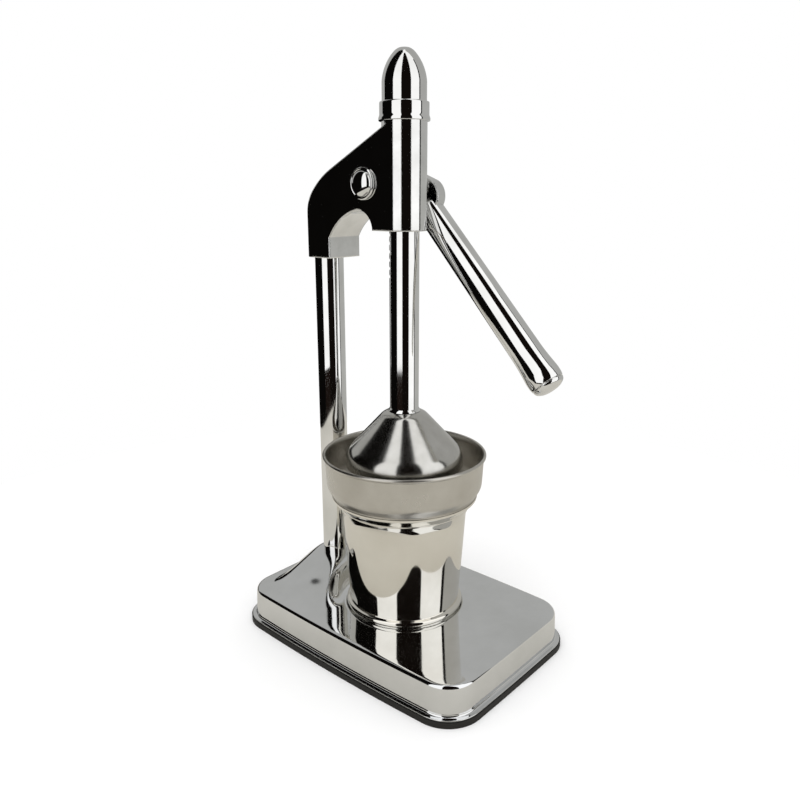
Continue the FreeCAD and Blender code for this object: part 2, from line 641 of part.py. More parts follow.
def make_column_bolt():
    """Hexagon bolt that pulls the column down onto the base."""
    seat = UNDER + " - backing_gauge - washer_gauge"
    head = primitive("Prism", "column_bolt_head", ("0", "column_y", seat + " - bolt_head_rise"),
                     Circumradius="bolt_head_across / sqrt(3)", Height="bolt_head_rise")
    shank = primitive("Cylinder", "column_bolt_shank", ("0", "column_y", seat), Radius="bolt_radius",
                      Height="washer_gauge + backing_gauge + sheet_gauge + plug_length - bolt_short")
    return combine("MultiFuse", "column_bolt", [head, shank])


def make_foot_plug():
    """Threaded steel plug pressed into the foot of the column tube."""
    return turned("column_foot_plug", [
        ("bolt_radius + thread_gap", FOOT), ("column_radius - column_gauge - press_gap", FOOT),
        ("column_radius - column_gauge - press_gap", FOOT + " + plug_length"),
        ("bolt_radius + thread_gap", FOOT + " + plug_length")], y="column_y")


def make_column():
    """Chromed steel tube that carries the head."""
    top = "leg_low + column_entry"
    return turned("column_tube", [
        ("column_radius - column_gauge", FOOT), ("column_radius", FOOT),
        ("column_radius", top), ("column_radius - column_gauge", top)], y="column_y")


def make_head():
    """Cast head: round rod housing in front, socket for the column behind, web with the pinion space."""
    body = new_body("head_casting")
    plan = new_sketch(body, "XY_Plane", {"z": "leg_low"})
    draw(plan, [("head_half", "column_y"), ("0", "column_y + head_half", "head_half", -1),
                ("-head_half", "column_y", "head_half", -1), ("-head_half", "rod_y"),
                ("0", "rod_y - head_half", "head_half", -1), ("head_half", "rod_y", "head_half", -1)])
    extrude(body, plan, "Pad", "head_top - leg_low")
    side = new_sketch(body, "YZ_Plane")
    fall = "tan(web_slope * 1 deg)"
    back = "column_y + head_half"
    web_y = "({0} - web_round + web_round * sin(web_slope * 1 deg))".format(back)
    web_z = "(web_start - ({0} - rod_y) * {1})".format(web_y, fall)
    round_low = "({0} - web_round * cos(web_slope * 1 deg))".format(web_z)
    front = "rod_y - head_half - cut_over"
    above = "head_top + head_half"
    draw(side, [(front, above), (front, "web_start + (head_half + cut_over) * " + fall), (web_y, web_z),
                (back, round_low, "web_round", 1), (back + " + cut_over", round_low), (back + " + cut_over", above)])
    extrude(body, side, "Pocket", "2 * head_half + 2 * cut_over", both=True)
    housing = new_sketch(body, "XY_Plane", {"z": "head_low"})
    circle(housing, "0", "rod_y", "head_half")
    extrude(body, housing, "Pad", "head_top - head_low")
    arch = new_sketch(body, "YZ_Plane")
    leg_front = "column_y - leg_reach"
    block_back = "rod_y + arch_block"
    draw(arch, [(leg_front, "leg_low - cut_over"), (leg_front, "arch_spring"),
                ("arch_top_y", "arch_top", "arch_sweep", -1), (block_back, "head_low", "arch_round", -1),
                (front, "head_low"), (front, "leg_low - cut_over")])
    extrude(body, arch, "Pocket", "2 * head_half + 2 * cut_over", both=True)
    bore = new_sketch(body, "XY_Plane", {"z": "leg_low - cut_over"})
    circle(bore, "0", "rod_y", "rod_radius + running_gap + bush_wall + press_gap")
    extrude(body, bore, "Pocket", "head_top - leg_low + 2 * cut_over", reverse=True)
    socket = new_sketch(body, "XY_Plane", {"z": "leg_low - cut_over"})
    circle(socket, "0", "column_y", "column_radius + press_gap")
    extrude(body, socket, "Pocket", "column_entry + cut_over", reverse=True)
    space = new_sketch(body, "YZ_Plane")
    circle(space, PINION_Y, "pinion_height", PINION_TIP + " + cavity_gap")
    extrude(body, space, "Pocket", "gear_width + 2 * cavity_gap", both=True)
    window = new_sketch(body, "YZ_Plane")
    window_front = block_back + " + window_front_wall"
    window_back = "{0} + {1} - window_back_wall".format(PINION_Y, PINION_TIP)
    window_low = "head_low - 2 * cut_over"
    draw(window, [(window_front, window_low), (window_back, window_low),
                  (window_back, "pinion_height"), (window_front, "pinion_height")])
    extrude(body, window, "Pocket", "gear_width + 2 * cavity_gap", both=True)
    shaft = new_sketch(body, "YZ_Plane")
    circle(shaft, PINION_Y, "pinion_height", "shaft_bush_radius + press_gap")
    extrude(body, shaft, "Pocket", "2 * head_half + 2 * cut_over", both=True)
    screw = new_sketch(body, "XZ_Plane")
    screw.AttachmentOffset = Placement(Vector(0, 0, -1), Rotation())
    bind(screw, "AttachmentOffset.Base.z", "-(column_y)")
    circle(screw, "0", "set_screw_height", "set_screw_radius + thread_gap")
    extrude(body, screw, "Pocket", "head_half + cut_over")
    return body


PINION_Y = "(rod_y + rack_pitch_depth + gear_module * gear_teeth / 2)"
PINION_TIP = "(gear_module * gear_teeth / 2 + gear_module)"
RACK_STEP = "(pi * gear_module)"
ELBOW_Y = "({0} - arm_reach)".format(PINION_Y)


def make_set_screw():
    """Grub screw in the back of the column socket."""
    face = "column_y + head_half - set_screw_sink"
    body = primitive("Cylinder", "set_screw_blank", ("0", face, "set_screw_height"), Vector(1, 0, 0), "90 deg",
                     Radius="set_screw_radius", Height="head_half - set_screw_sink - column_radius - press_gap")
    socket = primitive("Cylinder", "set_screw_socket_cut", ("0", face, "set_screw_height"), Vector(1, 0, 0),
                       "90 deg", Radius="set_screw_socket", Height="set_screw_socket_depth")
    return combine("Cut", "head_set_screw", [body, socket])


def make_rod_bush(name, low, length):
    """Bronze sleeve in the rod housing that the rod slides in."""
    inner = "rod_radius + running_gap"
    return turned(name, [(inner, low), (inner + " + bush_wall", low),
                         (inner + " + bush_wall", "{0} + {1}".format(low, length)),
                         (inner, "{0} + {1}".format(low, length))], y="rod_y")


def make_top_cap():
    """Bullet-shaped cap over the rod, with a bead and a collar where it grips the head."""
    nose_low = "cap_top - cap_nose_drop"
    inner = "cap_body_radius - cap_wall"
    inner_nose = "cap_nose - cap_wall / 2"
    return turned("top_cap", [
        ("0", "cap_top - cap_wall"),
        (inner_nose, nose_low + " - cap_wall", dome(inner_nose, "cap_nose_drop"), 1),
        (inner, "cap_body_top", "cap_dome_radius", 1),
        (inner, "head_top + cap_seat_gap"),
        ("head_half + cap_gap", "head_top + cap_seat_gap"),
        ("head_half + cap_gap", "cap_skirt_low"),
        ("cap_collar_radius", "cap_skirt_low"),
        ("cap_collar_radius", "cap_bead_top",
         dome("(cap_bead_top - cap_skirt_low) / 2", "cap_bead_radius - cap_collar_radius"), -1),
        ("cap_collar_radius", "cap_collar_top - cap_chamfer"),
        ("cap_collar_radius - cap_chamfer", "cap_collar_top"),
        ("cap_body_radius", "cap_collar_top"),
        ("cap_body_radius", "cap_body_top"),
        ("cap_nose", nose_low, "cap_dome_radius", -1),
        ("0", "cap_top", dome("cap_nose", "cap_nose_drop"), -1)], y="rod_y")


def make_rod():
    """Press rod with rack teeth along its back and a threaded spigot below."""
    body = new_body("rack_rod", y="rod_y")
    profile = new_sketch(body, "XZ_Plane")
    draw(profile, [("0", "rod_low - spigot_length"), ("spigot_radius", "rod_low - spigot_length"),
                   ("spigot_radius", "rod_low"), ("rod_radius", "rod_low"), ("rod_radius", "rod_top - rod_chamfer"),
                   ("rod_radius - rod_chamfer", "rod_top"), ("0", "rod_top")])
    turn(body, profile)
    tip_line = "(rack_pitch_depth + gear_module)"
    root_line = "(rack_pitch_depth - gear_root * gear_module)"
    flank = "tan(pressure_angle * 1 deg)"
    first = "(pinion_height + rack_gaps_above * {0})".format(RACK_STEP)
    last = "({0} - (rack_gaps - 1) * {1})".format(first, RACK_STEP)
    flat = new_sketch(body, "YZ_Plane")
    half_step = "{0} / 2".format(RACK_STEP)
    out = "(rod_radius + cut_over)"
    draw(flat, [(tip_line, "{0} - {1}".format(last, half_step)), (out, "{0} - {1}".format(last, half_step)),
                (out, "{0} + {1}".format(first, half_step)), (tip_line, "{0} + {1}".format(first, half_step))])
    extrude(body, flat, "Pocket", "2 * rod_radius + 2 * cut_over", both=True)
    gap = new_sketch(body, "YZ_Plane")
    half_pitch = "({0} / 4 + gear_lash / 2)".format(RACK_STEP)
    narrow = "({0} - gear_root * gear_module * {1})".format(half_pitch, flank)
    wide = "({0} + ({1} - rack_pitch_depth) * {2})".format(half_pitch, out, flank)
    draw(gap, [(root_line, "{0} - {1}".format(first, narrow)), (out, "{0} - {1}".format(first, wide)),
               (out, "{0} + {1}".format(first, wide)), (root_line, "{0} + {1}".format(first, narrow))])
    cut = extrude(body, gap, "Pocket", "2 * rod_radius + 2 * cut_over", both=True)
    pattern = body.newObject("PartDesign::LinearPattern", "rack_rod_teeth")
    pattern.Originals = [cut]
    line = next(f for f in body.Origin.OriginFeatures if f.Role == "Z_Axis")
    pattern.Direction = (line, [""])
    pattern.Reversed = True
    bind(pattern, "Length", "(rack_gaps - 1) * {0}".format(RACK_STEP))
    bind(pattern, "Occurrences", "rack_gaps")
    body.Tip = pattern
    doc.recompute()
    return body


INVOLUTE_POINTS = 6


def make_pinion():
    """Spur pinion with involute teeth, one tooth pointing at the rack."""
    module, teeth = value("gear_module"), int(value("gear_teeth"))
    pressure = math.radians(value("pressure_angle"))
    pitch = module * teeth / 2
    base, tip, root = pitch * math.cos(pressure), pitch + module, pitch - value("gear_root") * module
    spread = math.pi / (2 * teeth) - value("gear_lash") / (2 * pitch) + math.tan(pressure) - pressure
    start = max(base, root)

    def flank_point(radius, sign, turned_by):
        """Point of a tooth flank at a radius; sign picks the side of the tooth."""
        angle = math.acos(base / radius)
        lean = spread - (math.tan(angle) - angle)
        heading = turned_by + sign * lean
        return Vector(0, radius * math.cos(heading), radius * math.sin(heading))

    edges, previous = [], None
    radii = [start + (tip - start) * k / (INVOLUTE_POINTS - 1) for k in range(INVOLUTE_POINTS)]
    for number in range(teeth):
        middle = math.pi + 2 * math.pi * number / teeth
        rising = [flank_point(r, -1, middle) for r in radii]
        falling = [flank_point(r, 1, middle) for r in reversed(radii)]
        foot_in, foot_out = (Vector(0, p.y, p.z).normalize() * root for p in (rising[0], falling[-1]))
        if previous is not None:
            edges.append(Part.LineSegment(previous, foot_in))
        else:
            opening = foot_in
        for points in (rising, falling):
            curve = Part.BSplineCurve()
            curve.interpolate(points)
            if points is rising:
                edges.append(Part.LineSegment(foot_in, points[0]))
            edges.append(curve)
            if points is rising:
                crown = Vector(0, tip * math.cos(middle), tip * math.sin(middle))
                edges.append(Part.Arc(rising[-1], crown, falling[0]))
        edges.append(Part.LineSegment(falling[-1], foot_out))
        previous = foot_out
    edges.append(Part.LineSegment(previous, opening))
    wheel = Part.Face(Part.Wire([e.toShape() for e in edges])).extrude(Vector(value("gear_width"), 0, 0))
    bore = Part.makeCylinder(value("shaft_radius + press_gap"), value("gear_width"), Vector(), Vector(1, 0, 0))
    item = doc.addObject("Part::Feature", "pinion_gear")
    item.Label = "pinion_gear"
    item.Shape = wheel.cut(bore)
    item.Placement = Placement(Vector(value("-gear_width / 2"), value(PINION_Y), value("pinion_height")), Rotation())
    return item


ALONG_X = (Vector(0, 1, 0), "90 deg")


def make_shaft():
    """Steel shaft that carries the pinion between the two head walls and the lever outside."""
    low = "-(head_half + side_gap + dome_flange)"
    high = "lever_x + arm_gauge / 2"
    blank = primitive("Cylinder", "pinion_shaft_blank", (low, PINION_Y, "pinion_height"), *ALONG_X,
                      Radius="shaft_radius", Height="{0} - ({1})".format(high, low))
    hole = primitive("Cylinder", "pinion_shaft_thread", (high + " - arm_screw_length", PINION_Y, "pinion_height"),
                     *ALONG_X, Radius="arm_screw_radius + thread_gap", Height="arm_screw_length + cut_over")
    return combine("Cut", "pinion_shaft", [blank, hole])


def make_shaft_bush(name, start):
    """Bronze sleeve for the shaft in one wall of the head."""
    length = "head_half - gear_width / 2 - cavity_gap"
    sleeve = primitive("Cylinder", name + "_blank", (start, PINION_Y, "pinion_height"), *ALONG_X,
                       Radius="shaft_bush_radius", Height=length)
    hole = primitive("Cylinder", name + "_bore", (start + " - cut_over", PINION_Y, "pinion_height"), *ALONG_X,
                     Radius="shaft_radius + running_gap", Height=length + " + 2 * cut_over")
    return combine("Cut", name, [sleeve, hole])


def make_dome_cap():
    """Domed cap on the free end of the shaft."""
    body = new_body("shaft_dome_cap")
    body.Placement = Placement(Vector(), Rotation(Vector(0, 1, 0), -90))
    bind(body, "Placement.Base.x", "-(head_half + side_gap)")
    bind(body, "Placement.Base.y", PINION_Y)
    bind(body, "Placement.Base.z", "pinion_height")
    sketch = new_sketch(body, "XZ_Plane")
    draw(sketch, [("shaft_radius + press_gap", "0"), ("dome_radius", "0"), ("dome_radius", "dome_flange"),
                  ("0", "dome_flange + dome_rise", dome("dome_radius", "dome_rise"), -1), ("0", "dome_flange"),
                  ("shaft_radius + press_gap", "dome_flange")])
    turn(body, sketch)
    return body


def make_arm():
    """Lever arm: spacer boss on the shaft, flat plate with round ends and a tongue inside the handle."""
    low = "lever_x - arm_gauge / 2"
    boss_start = "head_half + side_gap"
    boss = primitive("Cylinder", "arm_boss", (boss_start, PINION_Y, "pinion_height"), *ALONG_X,
                     Radius="hub_radius", Height="{0} + arm_gauge - ({1})".format(low, boss_start))
    elbow = primitive("Cylinder", "arm_elbow", (low, ELBOW_Y, "elbow_height"), *ALONG_X,
                      Radius="elbow_radius", Height="arm_gauge")
    reach = "sqrt(arm_reach ^ 2 + elbow_drop ^ 2)"
    lean = "atan2(elbow_drop; arm_reach)"
    link = primitive("Box", "arm_link", (low, ELBOW_Y + " + elbow_radius * sin({0})".format(lean),
                                         "elbow_height - elbow_radius * cos({0})".format(lean)),
                     Vector(1, 0, 0), lean, Length="arm_gauge", Width=reach, Height="2 * elbow_radius")
    tongue = primitive("Box", "arm_tongue",
                       (low, ELBOW_Y + " - tongue_width / 2 * sin(lever_slope * 1 deg)",
                        "elbow_height - handle_drop + tongue_width / 2 * cos(lever_slope * 1 deg)"),
                       Vector(1, 0, 0), "180 deg + lever_slope * 1 deg", Length="arm_gauge",
                       Width="tongue_length", Height="tongue_width")
    solid = combine("MultiFuse", "arm_solid", [boss, elbow, link, tongue])
    hole = primitive("Cylinder", "arm_shaft_hole", ("0", PINION_Y, "pinion_height"), *ALONG_X,
                     Radius="shaft_radius + press_gap", Height="lever_x + 2 * arm_gauge")
    return combine("Cut", "lever_arm", [solid, hole])


def make_arm_screw():
    """Round-head screw that holds the arm on the shaft."""
    face = "lever_x + arm_gauge / 2"
    body = new_body("lever_arm_screw")
    body.Placement = Placement(Vector(), Rotation(Vector(0, 1, 0), 90))
    bind(body, "Placement.Base.x", face)
    bind(body, "Placement.Base.y", PINION_Y)
    bind(body, "Placement.Base.z", "pinion_height")
    sketch = new_sketch(body, "XZ_Plane")
    low = "-(arm_screw_length - arm_screw_play)"
    draw(sketch, [("0", low), ("arm_screw_radius", low), ("arm_screw_radius", "0"), ("arm_screw_head", "0"),
                  ("arm_screw_head", "arm_screw_edge"),
                  ("0", "arm_screw_rise", dome("arm_screw_head", "arm_screw_rise - arm_screw_edge"), -1)])
    turn(body, sketch)
    return body


def handle_body(name):
    """Body whose upright axis runs down the handle from its top end."""
    body = new_body(name)
    body.Placement = Placement(Vector(), Rotation(Vector(1, 0, 0), value("90 + lever_slope")))
    bind(body, "Placement.Rotation.Angle", "90 deg + lever_slope * 1 deg")
    bind(body, "Placement.Base.x", "lever_x")
    bind(body, "Placement.Base.y", ELBOW_Y)
    bind(body, "Placement.Base.z", "elbow_height - handle_drop")
    return body


def make_handle():
    """Tapered handle tube with a rounded, slotted top and a flared end."""
    body = handle_body("lever_handle_tube")
    sketch = new_sketch(body, "XZ_Plane")
    flare = "handle_length - handle_flare_length"
    outer = "handle_flare_radius - handle_end_taper"
    plug_hole = outer + " - handle_gauge"
    neck = "handle_top_radius - handle_top_round"
    draw(sketch, [(neck, "0"), ("handle_top_radius", "handle_top_round", "handle_top_round", -1),
                  ("handle_low_radius", flare), ("handle_flare_radius", "handle_length - handle_end_length"),
                  (outer, "handle_length"), (plug_hole, "handle_length"),
                  (plug_hole, "handle_length - plug_depth - plug_room"),
                  ("handle_low_radius - handle_gauge", flare + " - handle_gauge"),
                  ("handle_top_radius - handle_gauge", "handle_top_round"), (neck, "handle_gauge")])
    turn(body, sketch)
    slot = new_sketch(body, "XZ_Plane")
    half = "(arm_gauge / 2 + slot_gap)"
    slot_end = "(elbow_radius - handle_drop * sin(lever_slope * 1 deg) + slot_end_gap)"
    draw(slot, [("-" + half, "-cut_over"), (half, "-cut_over"), (half, slot_end), ("-" + half, slot_end)])
    extrude(body, slot, "Pocket", "2 * handle_top_radius + 2 * cut_over", both=True)
    return body


def make_end_plug():
    """Domed plug in the end of the handle."""
    body = handle_body("handle_end_plug")
    sketch = new_sketch(body, "XZ_Plane")
    inner = "handle_flare_radius - handle_end_taper - handle_gauge - press_gap"
    outer = "handle_flare_radius - handle_end_taper"
    draw(sketch, [("0", "handle_length - plug_depth"), (inner, "handle_length - plug_depth"),
                  (inner, "handle_length"), (outer, "handle_length"), (outer, "handle_length + plug_edge"),
                  ("0", "handle_length + plug_dome", dome(outer, "plug_dome - plug_edge"), -1)])
    turn(body, sketch)
    return body


def make_cone():
    """Hollow bell that presses the fruit down, clamped under the rod."""
    top = "rod_low"
    shoulder_z = top + " - cone_shoulder_drop"
    return turned("press_cone", [
        ("spigot_radius + thread_gap", top), ("spigot_radius + thread_gap", top + " - cone_wall"),
        ("cone_crown", top + " - cone_wall"),
        ("cone_shoulder - cone_wall / 2", shoulder_z + " - cone_wall"),
        ("cone_slope_end - cone_wall", "cone_slope_low - cone_wall / 2"),
        ("cone_skirt - cone_wall", "cone_skirt_top", "cone_bend", 1),
        ("cone_skirt - cone_wall", "cone_low"), ("cone_skirt", "cone_low"), ("cone_skirt", "cone_skirt_top"),
        ("cone_slope_end", "cone_slope_low", "cone_bend", -1), ("cone_shoulder", shoulder_z),
        ("cone_crown", top, "cone_round", -1)], y="rod_y")


def make_cone_ring():
    """Small ring round the rod where it meets the cone."""
    return turned("rod_base_ring", [
        ("rod_radius + press_gap", "rod_low"), ("cone_crown", "rod_low"),
        ("rod_radius + press_gap", "rod_low + cone_ring_rise", "cone_round", -1)], y="rod_y")


def make_cone_washer():
    """Washer between cone and nut."""
    top = "rod_low - cone_wall"
    return turned("cone_washer", [
        ("spigot_radius + thread_gap", top + " - cone_washer_gauge"), ("cone_washer_radius", top + " - cone_washer_gauge"),
        ("cone_washer_radius", top), ("spigot_radius + thread_gap", top)], y="rod_y")


def make_cone_nut():
    """Hexagon nut that clamps the cone to the rod."""
    low = "rod_low - cone_wall - cone_washer_gauge - nut_rise"
    blank = primitive("Prism", "cone_nut_blank", ("0", "rod_y", low), Circumradius="nut_across / sqrt(3)",
                      Height="nut_rise")
    hole = primitive("Cylinder", "cone_nut_hole", ("0", "rod_y", low + " - cut_over"),
                     Radius="spigot_radius + thread_gap", Height="nut_rise + 2 * cut_over")
    return combine("Cut", "cone_nut", [blank, hole])


def make_strainer():
    """Strainer bowl with rolled rim, shoulder that rests on the cup lip and slotted floor."""
    body = new_body("strainer_bowl", y="rod_y")
    sketch = new_sketch(body, "XZ_Plane")
    wall = "bowl_gauge"
    shoulder = "cup_top + lift_gap"
    floor_top = "floor_height + " + wall
    draw(sketch, [
        ("0", "floor_height"), ("floor_radius", "floor_height"), ("spout_radius", shoulder),
        ("bowl_seat_radius", shoulder), ("bowl_seat_radius", shoulder + " + shoulder_step"), ("bowl_low_radius", "bowl_bend"),
        ("bowl_top_radius", "rim_top - 2 * rim_roll"),
        ("rim_radius", "rim_top - rim_roll", "rim_radius - bowl_top_radius", -1),
        ("bowl_top_radius", "rim_top", "rim_radius - bowl_top_radius", -1),
        ("bowl_top_radius - " + wall, "rim_top - rim_roll"),
        ("bowl_low_radius - " + wall, "bowl_bend"),
        ("bowl_seat_radius - " + wall, shoulder + " + shoulder_step + " + wall),
        ("spout_radius - " + wall, shoulder + " + " + wall),
        ("floor_radius - " + wall, floor_top), ("0", floor_top)])
    turn(body, sketch)
    slot = new_sketch(body, "XY_Plane", {"z": "floor_height - cut_over"})
    half = "slot_width / 2"
    draw(slot, [("slot_inner", "-" + half), ("slot_outer", "-" + half),
                ("slot_outer", half), ("slot_inner", half)])
    cut = extrude(body, slot, "Pocket", "bowl_gauge + 2 * cut_over", reverse=True)
    repeat_round(body, cut, "slot_count")
    return body


def make_reamer():
    """Ribbed cone in the middle of the strainer that the fruit is pressed on."""
    body = new_body("reamer", y="rod_y")
    sketch = new_sketch(body, "XZ_Plane")
    foot = "floor_height + bowl_gauge"
    wall = "reamer_gauge"
    nose_z = "reamer_top - reamer_nose_drop"
    inner_nose = "reamer_nose - {0} / 2".format(wall)
    draw(sketch, [
        ("0", "reamer_top - " + wall),
        (inner_nose, "{0} - {1}".format(nose_z, wall), dome(inner_nose, "reamer_nose_drop"), 1),
        ("reamer_radius - " + wall, foot), ("reamer_radius", foot),
        ("reamer_nose", nose_z), ("0", "reamer_top", dome("reamer_nose", "reamer_nose_drop"), -1)])
    turn(body, sketch)
    rib = new_sketch(body, "XZ_Plane")
    rib_top = "{0} - rib_drop".format(nose_z)
    widening = "(reamer_radius - reamer_nose) * rib_drop / ({0} - ({1}))".format(nose_z, foot)
    draw(rib, [("reamer_radius - {0}".format(wall), foot), ("reamer_radius + rib_rise", foot),
               ("reamer_nose + {0} + rib_rise".format(widening), rib_top),
               ("reamer_nose + {0} - {1} / 2".format(widening, wall), rib_top)])
    ridge = extrude(body, rib, "Pad", "rib_width", both=True)
    repeat_round(body, ridge, "rib_count")
    return body


def make_cup():
    """Juice cup: flared mouth, rounded neck, tapered wall and a beaded foot."""
    seat = "top_height - seat_depth + lift_gap"
    wall = "cup_gauge"
    bead_low = seat + " + foot_step"
    return turned("juice_cup", [
        ("0", seat), ("foot_radius", seat), ("foot_radius", bead_low),
        ("foot_radius", bead_low + " + bead_height", dome("bead_height / 2", "bead_radius - foot_radius"), -1),
        ("throat_radius", "throat_height"),
        ("neck_radius", "neck_height", "throat_curve", -1),
        ("lip_radius", "cup_top - lip_height"), ("lip_radius", "cup_top"), ("lip_radius - " + wall, "cup_top"),
        ("lip_radius - " + wall, "cup_top - lip_height"),
        ("neck_radius - " + wall, "neck_height"), ("throat_radius - " + wall, "throat_height", "throat_curve", 1),
        ("foot_radius - " + wall, bead_low + " + bead_height"),
        ("foot_radius - " + wall, seat + " + " + wall), ("0", seat + " + " + wall)], y="rod_y")


PARTS = [
    make_base_pan(), make_base_seal(), make_bottom_plate(), make_base_posts(), make_plate_screws(),
    make_backing_plate(), make_bolt_washer(), make_column_bolt(), make_foot_plug(), make_column(),
    make_head(), make_set_screw(),
    make_rod_bush("rod_bush_low", "head_low", "low_bush_length"),
    make_rod_bush("rod_bush_high", "high_bush_low", "high_bush_length"),
    make_top_cap(), make_rod(), make_pinion(), make_shaft(),
    make_shaft_bush("shaft_bush_left", "-head_half"),
    make_shaft_bush("shaft_bush_right", "gear_width / 2 + cavity_gap"),
    make_dome_cap(), make_arm(), make_arm_screw(), make_handle(), make_end_plug(),
    make_cone(), make_cone_ring(), make_cone_washer(), make_cone_nut(),
    make_strainer(), make_reamer(), make_cup(),
]
doc.recompute()

failed = [item.Label for item in doc.Objects if {"Invalid", "Error"} & set(item.State)]
if failed:
    raise RuntimeError("did not build: " + ", ".join(failed))
for item in PARTS:
    if item.Shape.isNull() or not item.Shape.isValid():
        raise RuntimeError("%s has no valid shape" % item.Label)

os.makedirs("parts", exist_ok=True)
for item in PARTS:
    item.Shape.exportStep("parts/%s.step" % item.Label)
print("wrote %d sub-parts" % len(PARTS))
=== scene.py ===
"""Lever citrus juice press: smooth pieces, finishes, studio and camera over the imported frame.

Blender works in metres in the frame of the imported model: +Z up, the cup in front (-Y), the column
behind (+Y) and the lever on +X. The sizes of the press are written in millimetres.
"""
import json
import logging
import math
from collections.abc import Sequence
from dataclasses import dataclass, field
from enum import Enum
from typing import Any

import bmesh
import bpy
from mathutils import Euler, Matrix, Vector


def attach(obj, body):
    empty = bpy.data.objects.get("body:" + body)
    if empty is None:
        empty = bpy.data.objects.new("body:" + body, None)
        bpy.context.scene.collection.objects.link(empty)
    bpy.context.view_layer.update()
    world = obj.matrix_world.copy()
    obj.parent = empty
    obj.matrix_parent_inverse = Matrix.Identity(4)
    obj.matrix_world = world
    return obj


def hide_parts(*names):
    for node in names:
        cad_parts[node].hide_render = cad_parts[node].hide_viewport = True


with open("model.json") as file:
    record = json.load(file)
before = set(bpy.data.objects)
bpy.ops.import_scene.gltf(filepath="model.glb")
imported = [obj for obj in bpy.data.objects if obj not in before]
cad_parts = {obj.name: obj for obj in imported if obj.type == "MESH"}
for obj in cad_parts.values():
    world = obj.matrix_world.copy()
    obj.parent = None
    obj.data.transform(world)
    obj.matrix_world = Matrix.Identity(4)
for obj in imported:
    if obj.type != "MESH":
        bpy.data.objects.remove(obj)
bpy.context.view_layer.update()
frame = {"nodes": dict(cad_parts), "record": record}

LOG = logging.getLogger("citrus_press")
MM = 0.001
MERGE_MM = 0.002
ROD_Y = -2.5
ROD_AXIS = Matrix.Translation((0.0, ROD_Y * MM, 0.0))
WHITE = (1.0, 1.0, 1.0, 1.0)

# A corner of a profile: radius, height and rounding in millimetres
Corner = tuple[float, float, float]
Profile = tuple[Corner, ...]


def linear(hex_colour: str) -> tuple[float, float, float, float]:
    """Turn an sRGB hex colour into the linear colour that the shaders take.

    Args:
        hex_colour: six digits, with or without a leading hash.

    Returns:
        Linear red, green and blue, with full alpha.
    """
    digits = hex_colour.lstrip("#")
    channels = [int(digits[i:i + 2], 16) / 255 for i in (0, 2, 4)]
    curve = [c / 12.92 if c <= 0.04045 else ((c + 0.055) / 1.055) ** 2.4 for c in channels]
    return (curve[0], curve[1], curve[2], 1.0)


def add_node(tree: bpy.types.NodeTree, kind: str, inputs: dict[Any, Any] | None = None,
             **settings: Any) -> bpy.types.Node:
    """Add a node with its settings and links.

    Args:
        tree: node tree that gets the node.
        kind: Blender's name of the node type.
        inputs: socket name or number to a value, or to an output socket that is linked to it.
        settings: properties of the node itself.

    Returns:
        The new node.
    """
    node = tree.nodes.new(kind)
    for name, setting in settings.items():
        setattr(node, name, setting)
    for key, given in (inputs or {}).items():
        if isinstance(given, bpy.types.NodeSocket):
            tree.links.new(given, node.inputs[key])
        else:
            node.inputs[key].default_value = given
    return node


def noise(tree: bpy.types.NodeTree, place: bpy.types.NodeSocket, grain_mm: float, detail: float,
          roughness: float = 0.5) -> bpy.types.NodeSocket:
    """Add noise with grains of one size.

    Args:
        tree: node tree that gets it.
        place: coordinates in metres.
        grain_mm: size of a grain.
        detail: how many finer layers lie over it.
        roughness: how strong the finer layers are.

    Returns:
        The noise, from 0 to 1.
    """
    node = add_node(tree, "ShaderNodeTexNoise", {"Vector": place, "Scale": 1 / (grain_mm * MM),
                                                 "Detail": detail, "Roughness": roughness})
    return node.outputs["Fac"]


def remap(tree: bpy.types.NodeTree, value: bpy.types.NodeSocket, given: tuple[float, float],
          wanted: tuple[float, float]) -> bpy.types.NodeSocket:
    """Stretch one range of values over another and hold it at both ends.

    Args:
        tree: node tree that gets the node.
        value: what is mapped.
        given: lowest and highest value that come in.
        wanted: the values that they become.

    Returns:
        The mapped value.
    """
    node = add_node(tree, "ShaderNodeMapRange", {"Value": value, "From Min": given[0], "From Max": given[1],
                                                 "To Min": wanted[0], "To Max": wanted[1]})
    return node.outputs["Result"]


def blend(tree: bpy.types.NodeTree, share: bpy.types.NodeSocket, first: tuple[float, ...],
          second: tuple[float, ...]) -> bpy.types.NodeSocket:
    """Mix two linear colours.

    Args:
        tree: node tree that gets the node.
        share: 0 for the first colour, 1 for the second.
        first: linear colour.
        second: linear colour.

    Returns:
        The mixed colour.
    """
    # Inputs 6 and 7 and output 2 are the colour sockets of the mix node
    node = add_node(tree, "ShaderNodeMix", {"Factor": share, 6: first, 7: second}, data_type="RGBA")
    return node.outputs[2]


def blank_material(name: str) -> tuple[bpy.types.Material, bpy.types.NodeTree]:
    """Make a material without any nodes.

    Args:
        name: its name.

    Returns:
        The material and its node tree.
    """
    material = bpy.data.materials.new(name)
    material.use_nodes = True
    tree = material.node_tree
    tree.nodes.clear()
    return material, tree


def show_surface(tree: bpy.types.NodeTree, surface: bpy.types.NodeSocket) -> None:
    """Link a shader to the output of a material."""
    add_node(tree, "ShaderNodeOutputMaterial", {"Surface": surface})


class Lay(Enum):
    """Direction in which the polishing or brushing marks of a metal run."""

    ROUND = "round"
    LOOSE = "loose"


